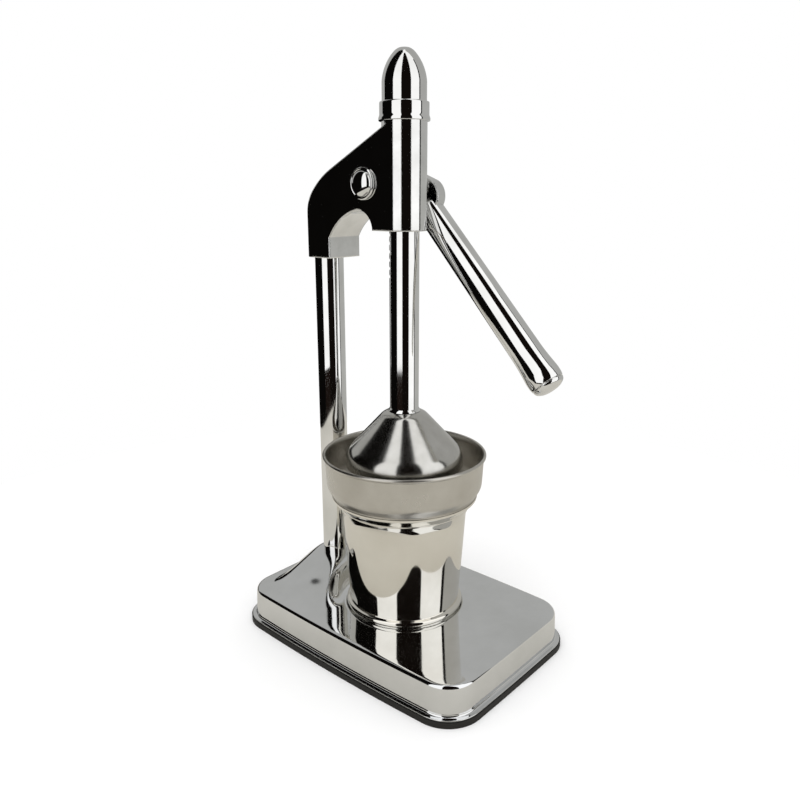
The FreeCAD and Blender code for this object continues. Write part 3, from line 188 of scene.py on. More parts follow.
@dataclass(frozen=True)
class Metal:
    """Bare or plated metal, from its colour, its gloss and the marks that its making left.

    The roughness runs between two values in blotches, as handled metal has, and fine marks show as
    bump. Marks that lie round the turning axis stretch reflections up and down the surface. With an
    edge size, sharp edges are shaded as if they were rounded by it; their shape stays as it is.
    """

    name: str
    colour: str
    worn_colour: str
    roughness: float
    rough_spread: float
    mark_mm: float
    mark_depth_mm: float
    blotch_mm: float
    lay: Lay = Lay.LOOSE
    anisotropy: float = 0.0
    wave_mm: float = 0.0
    wave_depth_mm: float = 0.0
    edge_mm: float = 0.0
    blotch_detail: float = 4.0
    blotch_roughness: float = 0.55
    worn_band: tuple[float, float] = (0.35, 0.7)
    gloss_band: tuple[float, float] = (0.3, 0.75)
    mark_detail: float = 3.0
    lay_stretch: float = 0.04
    lay_turn: float = 0.25
    edge_samples: int = 8

    def relief(self, tree: bpy.types.NodeTree, place: bpy.types.NodeSocket) -> bpy.types.NodeSocket:
        """Add the fine marks and the waves of the sheet, over rounded edges where it has them.

        Args:
            tree: node tree that gets the nodes.
            place: coordinates in metres.

        Returns:
            The normal that the shader takes.
        """
        stretch = (1.0, 1.0, 1.0) if self.lay is Lay.LOOSE else (self.lay_stretch, self.lay_stretch, 1.0)
        along = add_node(tree, "ShaderNodeMapping", {"Vector": place, "Scale": stretch})
        marks = noise(tree, along.outputs["Vector"], self.mark_mm, self.mark_detail)
        bump = add_node(tree, "ShaderNodeBump", {"Height": marks, "Strength": 1.0,
                                                 "Distance": self.mark_depth_mm * MM})
        if self.edge_mm:
            broken = add_node(tree, "ShaderNodeBevel", {"Radius": self.edge_mm * MM},
                              samples=self.edge_samples)
            tree.links.new(broken.outputs["Normal"], bump.inputs["Normal"])
        if not self.wave_mm:
            return bump.outputs["Normal"]
        waves = add_node(tree, "ShaderNodeBump", {
            "Height": noise(tree, place, self.wave_mm, 0.0), "Strength": 1.0,
            "Distance": self.wave_depth_mm * MM, "Normal": bump.outputs["Normal"]})
        return waves.outputs["Normal"]

    def build(self) -> bpy.types.Material:
        """Make the material.

        Returns:
            The finished material.
        """
        material, tree = blank_material(self.name)
        place = add_node(tree, "ShaderNodeTexCoord").outputs["Object"]
        blotch = noise(tree, place, self.blotch_mm, self.blotch_detail, self.blotch_roughness)
        worn = remap(tree, blotch, self.worn_band, (0.0, 1.0))
        gloss = remap(tree, blotch, self.gloss_band, (self.roughness, self.roughness + self.rough_spread))
        shader = add_node(tree, "ShaderNodeBsdfPrincipled", {
            "Base Color": blend(tree, worn, linear(self.colour), linear(self.worn_colour)),
            "Metallic": 1.0, "Roughness": gloss, "Anisotropic": self.anisotropy,
            "Normal": self.relief(tree, place)})
        if self.anisotropy:
            round_axis = add_node(tree, "ShaderNodeTangent", direction_type="RADIAL", axis="Z")
            tree.links.new(round_axis.outputs["Tangent"], shader.inputs["Tangent"])
            shader.inputs["Anisotropic Rotation"].default_value = self.lay_turn
        show_surface(tree, shader.outputs["BSDF"])
        return material


@dataclass(frozen=True)
class Rubber:
    """Black moulded rubber: a dull skin with fine grain and faint blotches of dust."""

    name: str = "moulded_black_rubber"
    colour: str = "#0B0B0B"
    dust_colour: str = "#1C1B1A"
    roughness: float = 0.55
    grain_mm: float = 0.5
    grain_depth_mm: float = 0.02
    grain_detail: float = 2.0
    blotch_mm: float = 14.0
    blotch_detail: float = 3.0

    def build(self) -> bpy.types.Material:
        """Make the material.

        Returns:
            The finished material.
        """
        material, tree = blank_material(self.name)
        place = add_node(tree, "ShaderNodeTexCoord").outputs["Object"]
        dust = noise(tree, place, self.blotch_mm, self.blotch_detail)
        grain = noise(tree, place, self.grain_mm, self.grain_detail)
        bump = add_node(tree, "ShaderNodeBump", {"Height": grain, "Distance": self.grain_depth_mm * MM})
        shader = add_node(tree, "ShaderNodeBsdfPrincipled", {
            "Base Color": blend(tree, dust, linear(self.colour), linear(self.dust_colour)),
            "Roughness": self.roughness, "Normal": bump.outputs["Normal"]})
        show_surface(tree, shader.outputs["BSDF"])
        return material


# Bright nickel-chrome plate on polished steel mirrors its surroundings with hardly a mark
CHROME_PLATE = Metal("bright_chrome_plate", colour="#F0F0EF", worn_colour="#E2E2E0", roughness=0.025,
                     rough_spread=0.04, mark_mm=0.35, mark_depth_mm=0.0003, blotch_mm=22.0)
# The pressed pan has the same plate, over sheet that is never quite flat
CHROME_PAN = Metal("bright_chrome_on_pressed_sheet", colour="#ECEDEE", worn_colour="#E3E4E4",
                   roughness=0.035, rough_spread=0.04, mark_mm=0.35, mark_depth_mm=0.0002,
                   blotch_mm=30.0, wave_mm=38.0, wave_depth_mm=0.06)
# The head and arm are die-cast and chromed: a mirror with a trace of the casting under the plate,
# and edges that are softened in the shading alone
CHROME_CASTING = Metal("bright_chrome_on_casting", colour="#F0F0EF", worn_colour="#DFDFDD",
                       roughness=0.03, rough_spread=0.05, mark_mm=0.4, mark_depth_mm=0.0004,
                       blotch_mm=16.0, wave_mm=20.0, wave_depth_mm=0.015, edge_mm=1.6)
# Polished 18/8 stainless sheet is a little darker and warmer than chrome, with faint spinning lines
STAINLESS_POLISHED = Metal("polished_stainless_sheet", colour="#EFECE4", worn_colour="#E6E2D9",
                           roughness=0.04, rough_spread=0.03, mark_mm=0.5, mark_depth_mm=0.00015,
                           blotch_mm=30.0, lay=Lay.ROUND)
# Brushed stainless: the lines lie round the axis, so lights smear into soft bands
STAINLESS_BRUSHED = Metal("brushed_stainless_sheet", colour="#D3D1CC", worn_colour="#C2BFB8",
                          roughness=0.24, rough_spread=0.08, mark_mm=0.45, mark_depth_mm=0.004,
                          blotch_mm=12.0, lay=Lay.ROUND, anisotropy=0.55)
# The spun cone is brushed finer than the rest, so its bands of light stay crisp
CONE_BRUSHED = Metal("fine_brushed_stainless_cone", colour="#D6D5D1", worn_colour="#C6C4BF",
                     roughness=0.15, rough_spread=0.05, mark_mm=0.5, mark_depth_mm=0.0015,
                     blotch_mm=16.0, lay=Lay.ROUND, anisotropy=0.6)
# The strainer is drawn from satin sheet: a quiet warm grey
BOWL_SATIN = Metal("satin_stainless_bowl", colour="#D0CDC6", worn_colour="#C4C0B8", roughness=0.27,
                   rough_spread=0.04, mark_mm=0.5, mark_depth_mm=0.001, blotch_mm=25.0, lay=Lay.ROUND)
# Zinc-plated steel is grey and slightly cloudy
STEEL_ZINC = Metal("zinc_plated_steel", colour="#A6A8AA", worn_colour="#8C8E90", roughness=0.34,
                   rough_spread=0.14, mark_mm=0.6, mark_depth_mm=0.004, blotch_mm=6.0)
# Sintered bronze is brown-yellow and finely porous
BRONZE_SINTERED = Metal("sintered_bronze", colour="#A9783E", worn_colour="#7E552B", roughness=0.38,
                        rough_spread=0.12, mark_mm=0.4, mark_depth_mm=0.008, blotch_mm=4.0)
# Moulded rubber is black and dull, so the base ends in a dark line on the table
RUBBER_MOULDED = Rubber()

FINISH_OF_SLOT = {
    "chrome_plate": CHROME_PLATE,
    "black_rubber": RUBBER_MOULDED,
    "zinc_steel": STEEL_ZINC,
    "bronze": BRONZE_SINTERED,
    "polished_stainless": STAINLESS_POLISHED,
    "satin_stainless": STAINLESS_BRUSHED,
}
FINISH_OF_NODE = {
    "base_pan": CHROME_PAN,
    "press_cone": CONE_BRUSHED,
    "head_casting": CHROME_CASTING,
    "lever_arm": CHROME_CASTING,
}


@dataclass
class Dresser:
    """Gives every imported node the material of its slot, and makes each material once."""

    made: dict[str, bpy.types.Material] = field(default_factory=dict)

    def material(self, finish: Metal | Rubber) -> bpy.types.Material:
        """Material of a finish, made when first asked for.

        Args:
            finish: the finish to look up.

        Returns:
            Its material.
        """
        if finish.name not in self.made:
            self.made[finish.name] = finish.build()
        return self.made[finish.name]

    def dress_frame(self) -> None:
        """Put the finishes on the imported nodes."""
        for entry in frame["record"]["subparts"]:
            node = frame["nodes"][entry["node"]]
            finish = FINISH_OF_NODE.get(entry["node"], FINISH_OF_SLOT[entry["material_slot"]])
            if not node.material_slots:
                node.data.materials.append(None)
            for held in node.material_slots:
                held.material = self.material(finish)
            LOG.info("dressed %s with %s", node.name, finish.name)


def soften(corners: Sequence[Corner], steps: int = 7, most: float = 0.48) -> list[tuple[float, float]]:
    """Round the corners of a profile.

    Args:
        corners: the profile in order.
        steps: points along each rounding.
        most: largest part of a side that one rounding may take.

    Returns:
        Points (radius, height) in millimetres.
    """
    points: list[tuple[float, float]] = []
    for index, (across, up, rounding) in enumerate(corners):
        if rounding <= 0 or index in (0, len(corners) - 1):
            points.append((across, up))
            continue
        here = Vector((across, up))
        before = Vector(corners[index - 1][:2]) - here
        after = Vector(corners[index + 1][:2]) - here
        reach = min(rounding, most * before.length, most * after.length)
        start = here + before.normalized() * reach
        end = here + after.normalized() * reach
        for step in range(steps + 1):
            share = step / steps
            spot = start * (1 - share) ** 2 + here * (2 * share * (1 - share)) + end * share ** 2
            points.append((spot.x, spot.y))
    return points


def add_object(name: str, mesh: bmesh.types.BMesh) -> bpy.types.Object:
    """Turn a mesh into an object of the scene.

    Args:
        name: name of the object and of its mesh.
        mesh: its geometry in metres; it is freed here.

    Returns:
        The new object.
    """
    data = bpy.data.meshes.new(name)
    mesh.to_mesh(data)
    mesh.free()
    made = bpy.data.objects.new(name, data)
    bpy.context.scene.collection.objects.link(made)
    return made


def add_piece(name: str, mesh: bmesh.types.BMesh, material: bpy.types.Material,
              body: str, nodes: tuple[str, ...], sharp: float = 40.0) -> bpy.types.Object:
    """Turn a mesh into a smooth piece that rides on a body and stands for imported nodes.

    Args:
        name: name of the piece.
        mesh: its geometry in metres; it is freed here.
        material: its finish.
        body: body that it rides on.
        nodes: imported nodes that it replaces.
        sharp: angle in degrees above which an edge stays sharp.

    Returns:
        The new object.
    """
    bmesh.ops.remove_doubles(mesh, verts=mesh.verts, dist=MERGE_MM * MM)
    bmesh.ops.recalc_face_normals(mesh, faces=mesh.faces)
    for face in mesh.faces:
        face.smooth = True
    piece = add_object(name, mesh)
    piece.data.set_sharp_from_angle(angle=math.radians(sharp))
    piece.data.materials.append(material)
    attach(piece, body)
    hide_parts(*nodes)
    LOG.info("built %s with %d faces", name, len(piece.data.polygons))
    return piece


@dataclass(frozen=True)
class SlotRing:
    """Ring of slots in a turned floor, each as wide as one step of the turning."""

    inner: float
    outer: float
    spacing: int

    def opens(self, radius: float, step: int) -> bool:
        """Tell whether a slot lies at this radius and step of the turning."""
        return self.inner < radius < self.outer and step % self.spacing == 0


def lathe(corners: Sequence[Corner], place: Matrix, segments: int = 192,
          slots: SlotRing | None = None) -> bmesh.types.BMesh:
    """Turn a profile about an axis.

    Args:
        corners: the profile.
        place: where the turning axis lies, in metres.
        segments: steps round the axis.
        slots: slots that are left out of the faces.

    Returns:
        The turned mesh.
    """
    mesh = bmesh.new()
    rings = []
    profile = soften(corners)
    turns = [2 * math.pi * k / segments for k in range(segments)]
    for across, up in profile:
        if across < 1e-6:
            rings.append([mesh.verts.new((0.0, 0.0, up * MM))])
            continue
        rings.append([mesh.verts.new((across * MM * math.cos(t), across * MM * math.sin(t), up * MM))
                      for t in turns])
    for number, (low, high) in enumerate(zip(rings, rings[1:])):
        if len(low) == 1 and len(high) == 1:
            continue
        middle = (profile[number][0] + profile[number + 1][0]) / 2
        for k in range(segments):
            if slots and slots.opens(middle, k):
                continue
            after = (k + 1) % segments
            if len(low) == 1:
                mesh.faces.new((low[0], high[after], high[k]))
            elif len(high) == 1:
                mesh.faces.new((low[k], low[after], high[0]))
            else:
                mesh.faces.new((low[k], low[after], high[after], high[k]))
    bmesh.ops.transform(mesh, matrix=place, verts=mesh.verts)
    return mesh


def ease(share: float) -> float:
    """Smooth step from 0 to 1."""
    held = min(1.0, max(0.0, share))
    return held * held * (3 - 2 * held)


def arc_points(start: tuple[float, float], end: tuple[float, float], radius: float,
               steps: int = 16) -> list[Corner]:
    """Points along an arc that bulges to the right of the way travelled.

    Args:
        start: radius and height where it starts, in millimetres.
        end: where it ends.
        radius: arc radius.
        steps: number of pieces.

    Returns:
        Corners without rounding, both ends included.
    """
    a, b = Vector(start), Vector(end)
    chord = b - a
    left = Vector((-chord.y, chord.x)).normalized()
    centre = (a + b) / 2 + left * math.sqrt(radius ** 2 - (chord.length / 2) ** 2)
    first = math.atan2(a.y - centre.y, a.x - centre.x)
    last = math.atan2(b.y - centre.y, b.x - centre.x)
    sweep = (last - first + math.pi) % (2 * math.pi) - math.pi
    turns = [first + sweep * k / steps for k in range(steps + 1)]
    return [(max(0.0, centre.x + radius * math.cos(t)), centre.y + radius * math.sin(t), 0.0) for t in turns]


@dataclass
class PressedBase:
    """Pan of the base: flange, drafted wall, round top edge, rise for the column and cup seat."""

    half_length: float = 92.5
    half_width: float = 65.0
    corner: float = 23.0
    long_bow: float = 3.0
    short_bow: float = 0.8
    flange_inset: float = 0.65
    flange_thick: float = 1.0
    flange_round: float = 0.45
    wall_inset: float = 3.6
    wall_lean: float = 0.75
    low: float = 3.6
    foot_round: float = 1.6
    sheet_thick: float = 0.9
    top: float = 23.2
    top_round: float = 5.0
    top_run: float = 6.0
    rise: float = 15.0
    crown: float = 11.5
    rise_side: float = 58.0
    rise_back: float = 27.0
    rise_front: float = 46.0
    rise_power: float = 2.5
    seat_shoulder: float = 7.0
    edge_shoulder: float = 6.0
    column_y: float = 60.3
    seat_radius: float = 37.9
    seat_depth: float = 0.8
    seat_blend: float = 1.2
    sharp_angle: float = 60.0
    around: int = 320
    across: int = 90
    arc_least: int = 6
    wall_steps: int = 9

    def outline(self) -> list[tuple[Vector, Vector]]:
        """Footprint of eight tangent arcs.

        Returns:
            Points and outward directions in millimetres.
        """
        def centre(near: float, half: float, bow: float) -> tuple[float, float]:
            """Radius and centre distance of a bulged side."""
            radius = (half ** 2 + bow ** 2) / (2 * bow)
            return radius, near - radius

        long_radius, long_x = centre(self.half_width, self.half_length, self.long_bow)
        short_radius, short_y = centre(self.half_length, self.half_width, self.short_bow)
        reach_long = long_radius - self.corner
        reach_short = short_radius - self.corner
        between = Vector((-long_x, short_y))
        along = (reach_long ** 2 - reach_short ** 2 + between.length ** 2) / (2 * between.length)
        aside = math.sqrt(reach_long ** 2 - along ** 2)
        unit = between.normalized()
        square = Vector((-unit.y, unit.x))
        spots = [Vector((long_x, 0)) + unit * along + square * aside * way for way in (1, -1)]
        corner = max(spots, key=lambda p: p.x + p.y)
        lean = math.atan2(corner.y, corner.x - long_x)
        tip = math.atan2(corner.y - short_y, corner.x)
        quarter: list[tuple[Vector, Vector]] = []
        shares = self.around // 4
        lengths = (long_radius * lean, self.corner * (tip - lean), short_radius * (math.pi / 2 - tip))
        counts = [max(self.arc_least, round(shares * part / sum(lengths))) for part in lengths]
        arcs = ((Vector((long_x, 0)), long_radius, 0.0, lean), (corner, self.corner, lean, tip),
                (Vector((0, short_y)), short_radius, tip, math.pi / 2))
        for (middle, radius, start, stop), count in zip(arcs, counts):
            for k in range(count):
                turn = start + (stop - start) * k / count
                out = Vector((math.cos(turn), math.sin(turn)))
                quarter.append((middle + out * radius, out))
        quarter.append((Vector((0, self.half_length)), Vector((0, 1))))
        back = [(Vector((-p.x, p.y)), Vector((-n.x, n.y))) for p, n in reversed(quarter[:-1])]
        half = quarter + back
        front = [(Vector((-p.x, -p.y)), Vector((-n.x, -n.y))) for p, n in half[1:-1]]
        return half + front

    def height(self, x: float, y: float, inside: float) -> float:
        """Height of the top sheet.

        Args:
            x: place across in millimetres.
            y: place along in millimetres.
            inside: distance from the rounded edge in millimetres.

        Returns:
            Height in millimetres.
        """
        dx, dy = x, y - self.column_y
        distance = math.hypot(dx, dy)
        lift = self.rise
        if distance > self.crown:
            across, along = abs(dx) / distance, abs(dy) / distance
            end = self.rise_back if dy > 0 else self.rise_front
            power = self.rise_power
            reach = ((across / self.rise_side) ** power + (along / end) ** power) ** (-1 / power)
            share = min(1.0, (distance - self.crown) / (reach - self.crown))
            lift = self.rise * (1 + math.cos(math.pi * share)) / 2
        from_cup = math.hypot(x, y - ROD_Y) - self.seat_radius
        lift *= ease((from_cup - self.seat_blend) / self.seat_shoulder) * ease(inside / self.edge_shoulder)
        return self.top + lift - self.seat_depth * ease(-from_cup / self.seat_blend)

    def wall(self) -> list[Corner]:
        """Profile from the flange up to the top sheet.

        Returns:
            Corners whose first number is the distance inside the footprint.
        """
        flat = self.low + self.flange_thick
        inset_top = self.wall_inset + self.wall_lean
        return [(self.flange_inset, self.low, 0.0), (self.flange_inset, flat, self.flange_round),
                (self.wall_inset, flat, self.foot_round), (inset_top, self.top, self.top_round),
                (inset_top + self.top_run, self.top, 0.0)]

    def build(self, dresser: Dresser) -> None:
        """Build the pan.

        Args:
            dresser: where the finish comes from.
        """
        wall = self.wall()
        mesh = bmesh.new()
        line = self.outline()
        rings = [[mesh.verts.new(((p.x - n.x * inset) * MM, (p.y - n.y * inset) * MM, up * MM))
                  for p, n in line] for inset, up in soften(wall, self.wall_steps)]
        edge = wall[-1][0]
        for step in range(1, self.across):
            share = 1 - step / self.across
            ring = []
            for p, n in line:
                x = (p.x - n.x * edge) * share
                y = (p.y - n.y * edge) * share
                inside = (p - n * edge).length * (1 - share)
                ring.append(mesh.verts.new((x * MM, y * MM, self.height(x, y, inside) * MM)))
            rings.append(ring)
        for outer, inner in zip(rings, rings[1:]):
            for k in range(len(outer)):
                after = (k + 1) % len(outer)
                mesh.faces.new((outer[k], outer[after], inner[after], inner[k]))
        middle = mesh.verts.new((0.0, 0.0, self.height(0, 0, self.half_width) * MM))
        for k in range(len(line)):
            mesh.faces.new((rings[-1][k], rings[-1][(k + 1) % len(line)], middle))
        piece = add_piece("pan_skin", mesh, dresser.material(CHROME_PAN), "frame",
                          ("base_pan",), sharp=self.sharp_angle)
        sheet = piece.modifiers.new("sheet", "SOLIDIFY")
        sheet.thickness = self.sheet_thick * MM
        sheet.offset = -1.0


@dataclass
class TopCap:
    """Bullet cap over the top of the rod, with a collar and a bead at its foot."""

    skirt: Profile = ((12.9, 315.8, 0.0), (14.3, 315.8, 0.5), (14.4, 317.3, 1.2), (13.8, 318.9, 0.5),
                      (13.8, 325.8, 0.7), (12.4, 325.9, 0.35), (12.4, 336.0, 0.0))
    dome_end: tuple[float, float] = (5.4, 351.6)
    dome_radius: float = 25.0
    tip: Profile = ((5.2, 351.8, 0.9), (3.2, 353.1, 1.4), (0.0, 353.5, 0.0))
    inside: Profile = ((0.0, 352.3, 0.0), (6.0, 349.3, 3.0), (11.2, 336.0, 2.0), (11.2, 320.2, 0.2),
                       (12.9, 320.2, 0.2), (12.9, 315.8, 0.0))
    sharp_angle: float = 50.0

    def build(self, dresser: Dresser) -> None:
        """Build the cap.

        Args:
            dresser: where the finish comes from.
        """
        dome = arc_points(self.skirt[-1][:2], self.dome_end, self.dome_radius)[1:-1]
        profile = [*self.skirt, *dome, *self.tip, *self.inside]
        add_piece("cap_skin", lathe(profile, ROD_AXIS), dresser.material(CHROME_PLATE),
                  "frame", ("top_cap",), sharp=self.sharp_angle)


@dataclass
class PressCone:
    """Spun bell under the rod."""

    outside: Profile = ((4.1, 150.6, 0.0), (9.6, 150.6, 2.0), (13.4, 149.0, 3.5), (34.6, 126.0, 7.0),
                        (36.25, 120.5, 1.0), (36.25, 116.5, 0.0))
    inside: Profile = ((34.85, 116.5, 0.4), (34.85, 120.4, 3.0), (33.2, 125.2, 6.0), (12.7, 147.6, 2.5),
                       (9.6, 149.2, 0.5), (4.1, 149.2, 0.0), (4.1, 150.6, 0.0))

    def build(self, dresser: Dresser) -> None:
        """Build the cone.

        Args:
            dresser: where the finish comes from.
        """
        profile = [*self.outside, *self.inside]
        add_piece("cone_skin", lathe(profile, ROD_AXIS), dresser.material(CONE_BRUSHED),
                  "press", ("press_cone",))


@dataclass
class StrainerBowl:
    """Strainer bowl with rolled rim, turned-in foot and slotted floor."""

    floor_under: float = 93.4
    floor_over: float = 94.3
    slots: SlotRing = SlotRing(inner=29.0, outer=38.0, spacing=8)
    outside: Profile = ((40.4, 93.4, 1.0), (43.1, 97.65, 0.5), (44.95, 97.65, 0.35), (44.95, 98.5, 0.3),
                        (48.1, 103.6, 2.4), (49.1, 121.8, 1.0), (50.3, 122.2, 0.6), (50.55, 123.3, 0.8),
                        (49.7, 124.4, 0.8))
    inside: Profile = ((48.7, 123.9, 0.8), (48.15, 121.6, 1.0), (47.2, 104.0, 2.0), (44.0, 99.0, 1.0),
                       (42.2, 98.5, 0.8), (39.8, 94.3, 0.8))

    def floor(self, up: float) -> list[Corner]:
        """Floor from the middle outward, with a corner at both ends of the slots."""
        return [(0.0, up, 0.0), (self.slots.inner, up, 0.0), (self.slots.outer, up, 0.0)]

    def build(self, dresser: Dresser) -> None:
        """Build the strainer.

        Args:
            dresser: where the finish comes from.
        """
        profile = [*self.floor(self.floor_under), *self.outside, *self.inside,
                   *reversed(self.floor(self.floor_over))]
        add_piece("strainer_skin", lathe(profile, ROD_AXIS, slots=self.slots),
                  dresser.material(BOWL_SATIN), "strainer", ("strainer_bowl",))


@dataclass
class JuiceCup:
    """Juice cup with flared mouth, soft shoulder, tapered wall and foot bead."""

    outside: Profile = ((0.0, 22.45, 0.0), (34.9, 22.45, 0.5), (34.95, 23.1, 0.3), (37.0, 23.7, 1.2),
                        (37.3, 25.1, 1.2), (36.9, 26.5, 1.2), (35.0, 27.2, 0.5), (35.2, 30.0, 1.0),
                        (38.75, 86.4, 5.0), (41.0, 90.9, 2.4), (41.2, 91.9, 0.5), (45.35, 96.2, 0.6),
                        (45.35, 97.6, 0.0))
    inside: Profile = ((44.5, 97.6, 0.2), (44.5, 96.6, 0.5), (40.3, 92.3, 1.2), (37.85, 86.6, 4.0),
                       (34.1, 27.5, 2.0), (33.9, 23.35, 1.5), (0.0, 23.35, 0.0))

    def build(self, dresser: Dresser) -> None:
        """Build the cup.

        Args:
            dresser: where the finish comes from.
        """
        profile = [*self.outside, *self.inside]
        add_piece("cup_skin", lathe(profile, ROD_AXIS), dresser.material(STAINLESS_POLISHED),
                  "cup", ("juice_cup",))


@dataclass
class LeverParts:
    """Handle tube, its end plug and the domed cap on the shaft.

    Heights of tube_end and plug are counted from the far end of the handle.
    """

    slope: float = 47.3
    handle_x: float = 23.0
    handle_y: float = -1.1
    handle_z: float = 269.6
    length: float = 127.0
    tube_top: Profile = ((6.9, 1.4, 0.0), (4.6, 0.0, 0.4), (8.1, 0.0, 3.4))
    tube_end: Profile = ((9.1, -17.0, 12.0), (10.15, -5.5, 4.0), (10.0, -2.0, 1.5), (9.55, -0.2, 0.4),
                         (8.4, -0.2, 0.2), (8.4, -10.0, 1.0), (7.8, -15.0, 3.0))
    plug: Profile = ((0.0, -9.0, 0.0), (8.35, -9.0, 0.3), (8.35, 0.2, 0.1), (9.45, 0.25, 0.4),
                     (8.75, 2.0, 1.6), (5.6, 3.9, 3.0), (0.0, 4.35, 0.0))
    cap_x: float = -13.2
    shaft_y: float = 17.3
    shaft_z: float = 283.0
    cap_rim: Profile = ((5.05, 0.0, 0.0), (9.0, 0.0, 0.3), (9.15, 0.9, 0.6), (8.3, 1.6, 0.5),
                        (7.5, 1.15, 0.35))
    dome_radius: float = 7.3
    dome_foot: float = 1.1
    dome_height: float = 3.5
    dome_steps: int = 16
    cap_inside: Profile = ((0.0, 4.6, 0.0), (0.0, 1.2, 0.0), (5.05, 1.2, 0.1), (5.05, 0.0, 0.0))
    cap_segments: int = 96

    def handle_axis(self) -> Matrix:
        """Axis that runs down the handle from its top end."""
        return (Matrix.Translation((self.handle_x * MM, self.handle_y * MM, self.handle_z * MM))
                @ Matrix.Rotation(math.radians(90 + self.slope), 4, "X"))

    def cap_axis(self) -> Matrix:
        """Axis of the shaft, from the foot of its cap outward."""
        return (Matrix.Translation((self.cap_x * MM, self.shaft_y * MM, self.shaft_z * MM))
                @ Matrix.Rotation(math.radians(-90), 4, "Y"))

    def from_end(self, corners: Profile) -> list[Corner]:
        """Corners that are counted from the far end of the handle, put on its axis."""
        return [(across, self.length + up, rounding) for across, up, rounding in corners]

    def dome(self) -> list[Corner]:
        """Outside of the domed cap inside its rim.

        Returns:
            Corners without rounding.
        """
        turns = [math.pi / 2 * k / self.dome_steps for k in range(1, self.dome_steps)]
        return [(self.dome_radius * math.cos(t), self.dome_foot + self.dome_height * math.sin(t), 0.0)
                for t in turns]

    def build(self, dresser: Dresser) -> None:
        """Build the lever's turned pieces.

        Args:
            dresser: where the finishes come from.
        """
        axis = self.handle_axis()
        chrome = dresser.material(CHROME_PLATE)
        tube = [*self.tube_top, *self.from_end(self.tube_end), self.tube_top[0]]
        add_piece("handle_skin", lathe(tube, axis), chrome, "lever",
                  ("lever_handle_tube",))
        plug = self.from_end(self.plug)
        add_piece("plug_skin", lathe(plug, axis), chrome, "lever", ("handle_end_plug",))
        cap = [*self.cap_rim, *self.dome(), *self.cap_inside]
        add_piece("shaft_cap_skin", lathe(cap, self.cap_axis(), self.cap_segments), chrome,
                  "lever", ("shaft_dome_cap",))


@dataclass(frozen=True)
class Card:
    """Studio card on a sphere round the press, seen only in its metal.

    Angles are in degrees: round runs anticlockwise from above, starting at the camera's side.
    """

    name: str
    start: float
    stop: float
    low: float
    high: float
    colour: str


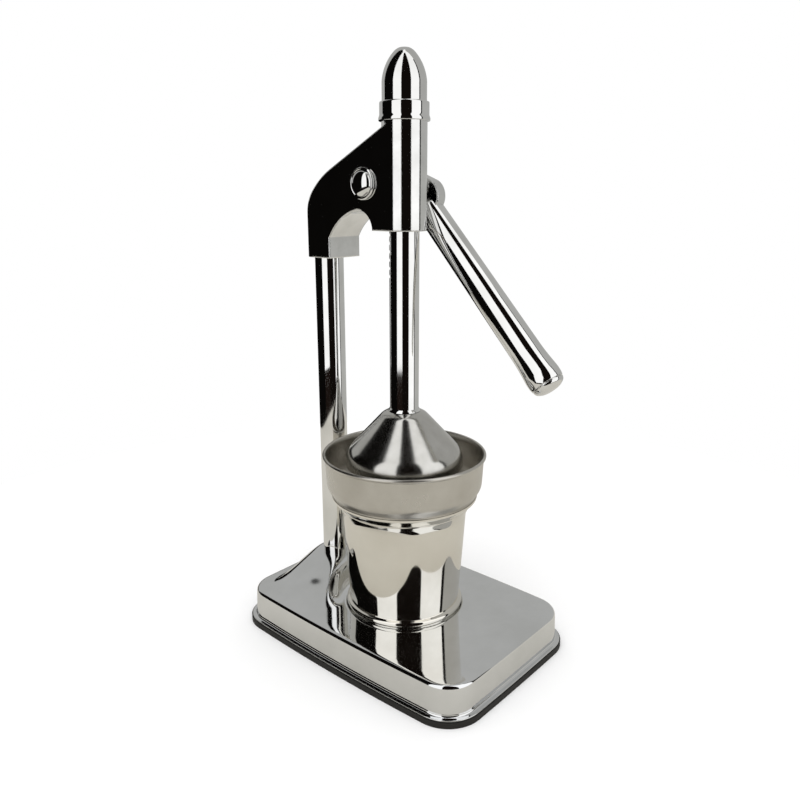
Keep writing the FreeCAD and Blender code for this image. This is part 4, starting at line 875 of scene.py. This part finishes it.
@dataclass
class Studio:
    """Pale floor, plain world, one soft lamp and the cards that give the metal its contrast.

    Distances are in metres and angles in degrees.
    """

    camera_side: float = 221.4
    card_distance: float = 1.6
    card_step: float = 3.0
    floor_radius: float = 0.47
    floor_sides: int = 96
    floor_colour: str = "#C8C5BD"
    world_strength: float = 0.93
    mirror_strength: float = 1.14
    lamp_power: float = 6.0
    lamp_size: float = 1.2
    lamp_place: tuple[float, float, float] = (-0.5, -0.3, 1.5)
    cards: tuple[Card, ...] = (
        Card("card_left", -180.0, -59.0, -75.0, 12.0, "#0A0908"),
        Card("card_left_high", -120.0, -59.0, 12.0, 85.0, "#0A0908"),
        Card("card_left_low", -59.0, -16.0, -75.0, -7.0, "#1C1512"),
        Card("card_right_low", 34.0, 81.0, -75.0, -12.0, "#57524C"),
        Card("card_front", -16.0, 34.0, -75.0, 85.0, "#110D0B"),
        Card("card_right_narrow", 81.0, 88.0, -75.0, 60.0, "#0A0908"),
        Card("card_right", 88.0, 180.0, -75.0, 12.0, "#B4B4B1"),
        Card("card_back", 88.0, 240.0, 12.0, 85.0, "#B2B2B0"),
    )

    def glow(self, name: str, colour: str) -> bpy.types.Material:
        """Make the material of an evenly coloured card.

        Args:
            name: material name.
            colour: sRGB hex colour that it shows.

        Returns:
            The material.
        """
        material, tree = blank_material(name)
        light = add_node(tree, "ShaderNodeEmission", {"Color": linear(colour), "Strength": 1.0})
        show_surface(tree, light.outputs["Emission"])
        return material

    def spread(self, start: float, stop: float) -> list[float]:
        """Angles from start to stop in even steps.

        Args:
            start: first angle.
            stop: last angle.

        Returns:
            The angles, at least two, about card_step apart.
        """
        count = max(2, int((stop - start) / self.card_step) + 1)
        return [start + (stop - start) * k / (count - 1) for k in range(count)]

    def place_card(self, card: Card) -> None:
        """Build one card as a patch of a sphere.

        Args:
            card: what to build.
        """
        mesh = bmesh.new()
        grid = []
        for side in self.spread(card.start, card.stop):
            turn = math.radians(self.camera_side + side)
            line = []
            for slant in self.spread(card.low, card.high):
                lift = math.radians(slant)
                line.append(mesh.verts.new((self.card_distance * math.cos(turn) * math.cos(lift),
                                            self.card_distance * math.sin(turn) * math.cos(lift),
                                            self.card_distance * math.sin(lift))))
            grid.append(line)
        for here, after in zip(grid, grid[1:]):
            for j in range(len(here) - 1):
                mesh.faces.new((here[j], after[j], after[j + 1], here[j + 1]))
        panel = add_object(card.name, mesh)
        panel.data.materials.append(self.glow(card.name, card.colour))
        panel.visible_camera = False
        panel.visible_diffuse = False
        panel.visible_shadow = False

    def place_floor(self) -> None:
        """Build the floor: a plain warm-grey disc that the camera sees as white with soft shadows."""
        mesh = bmesh.new()
        bmesh.ops.create_circle(mesh, cap_ends=True, segments=self.floor_sides, radius=self.floor_radius)
        floor = add_object("floor", mesh)
        material, tree = blank_material("plain_paper_floor")
        seen = add_node(tree, "ShaderNodeLightPath").outputs["Is Camera Ray"]
        shade = blend(tree, seen, linear(self.floor_colour), WHITE)
        paper = add_node(tree, "ShaderNodeBsdfDiffuse", {"Color": shade})
        show_surface(tree, paper.outputs["BSDF"])
        floor.data.materials.append(material)

    def light(self) -> None:
        """Set the world and one soft lamp."""
        world = bpy.data.worlds.new("studio_world")
        bpy.context.scene.world = world
        world.use_nodes = True
        tree = world.node_tree
        tree.nodes.clear()
        path = add_node(tree, "ShaderNodeLightPath")
        seen = remap(tree, path.outputs["Is Camera Ray"], (0.0, 1.0), (self.world_strength, 1.0))
        # Inputs 0, 2 and 3 are the factor and the two numbers of the mix node
        strength = add_node(tree, "ShaderNodeMix", {0: path.outputs["Is Glossy Ray"], 2: seen,
                                                    3: self.mirror_strength})
        sky = add_node(tree, "ShaderNodeBackground", {"Color": WHITE, "Strength": strength.outputs[0]})
        add_node(tree, "ShaderNodeOutputWorld", {"Surface": sky.outputs["Background"]})
        lamp = bpy.data.lights.new("soft_lamp", "AREA")
        lamp.energy = self.lamp_power
        lamp.size = self.lamp_size
        holder = bpy.data.objects.new("soft_lamp", lamp)
        bpy.context.scene.collection.objects.link(holder)
        holder.location = self.lamp_place
        holder.rotation_euler = Vector(self.lamp_place).to_track_quat("Z", "Y").to_euler()
        holder.visible_glossy = False

    def build(self) -> None:
        """Build the whole studio."""
        self.place_floor()
        for card in self.cards:
            self.place_card(card)
        self.light()
        bpy.context.scene.view_settings.view_transform = "Standard"
        LOG.info("studio with %d cards", len(self.cards))


@dataclass(frozen=True)
class PhotoCamera:
    """Camera where the photograph was taken from, worked out from the base's known size.

    Places are in metres, angles in degrees, lens and sensor in millimetres.
    """

    place: tuple[float, float, float] = (-0.3315, -0.2915, 0.2777)
    heading: float = 41.40
    dip: float = 15.38
    roll: float = 0.09
    lens: float = 33.84
    sensor: float = 36.0
    near: float = 0.01

    def build(self) -> None:
        """Create the camera and make it the scene's camera."""
        data = bpy.data.cameras.new("photo_camera")
        data.lens = self.lens
        data.sensor_width = self.sensor
        data.clip_start = self.near
        holder = bpy.data.objects.new("photo_camera", data)
        bpy.context.scene.collection.objects.link(holder)
        holder.location = self.place
        holder.rotation_euler = Euler((math.radians(90 - self.dip), math.radians(self.roll),
                                       math.radians(self.heading - 90)), "XYZ")
        bpy.context.scene.camera = holder


def main() -> None:
    """Build the scene in order."""
    logging.basicConfig(level=logging.INFO)
    PhotoCamera().build()
    Studio().build()
    dresser = Dresser()
    dresser.dress_frame()
    PressedBase().build(dresser)
    TopCap().build(dresser)
    PressCone().build(dresser)
    StrainerBowl().build(dresser)
    JuiceCup().build(dresser)
    LeverParts().build(dresser)


if __name__ == "__main__":
    main()
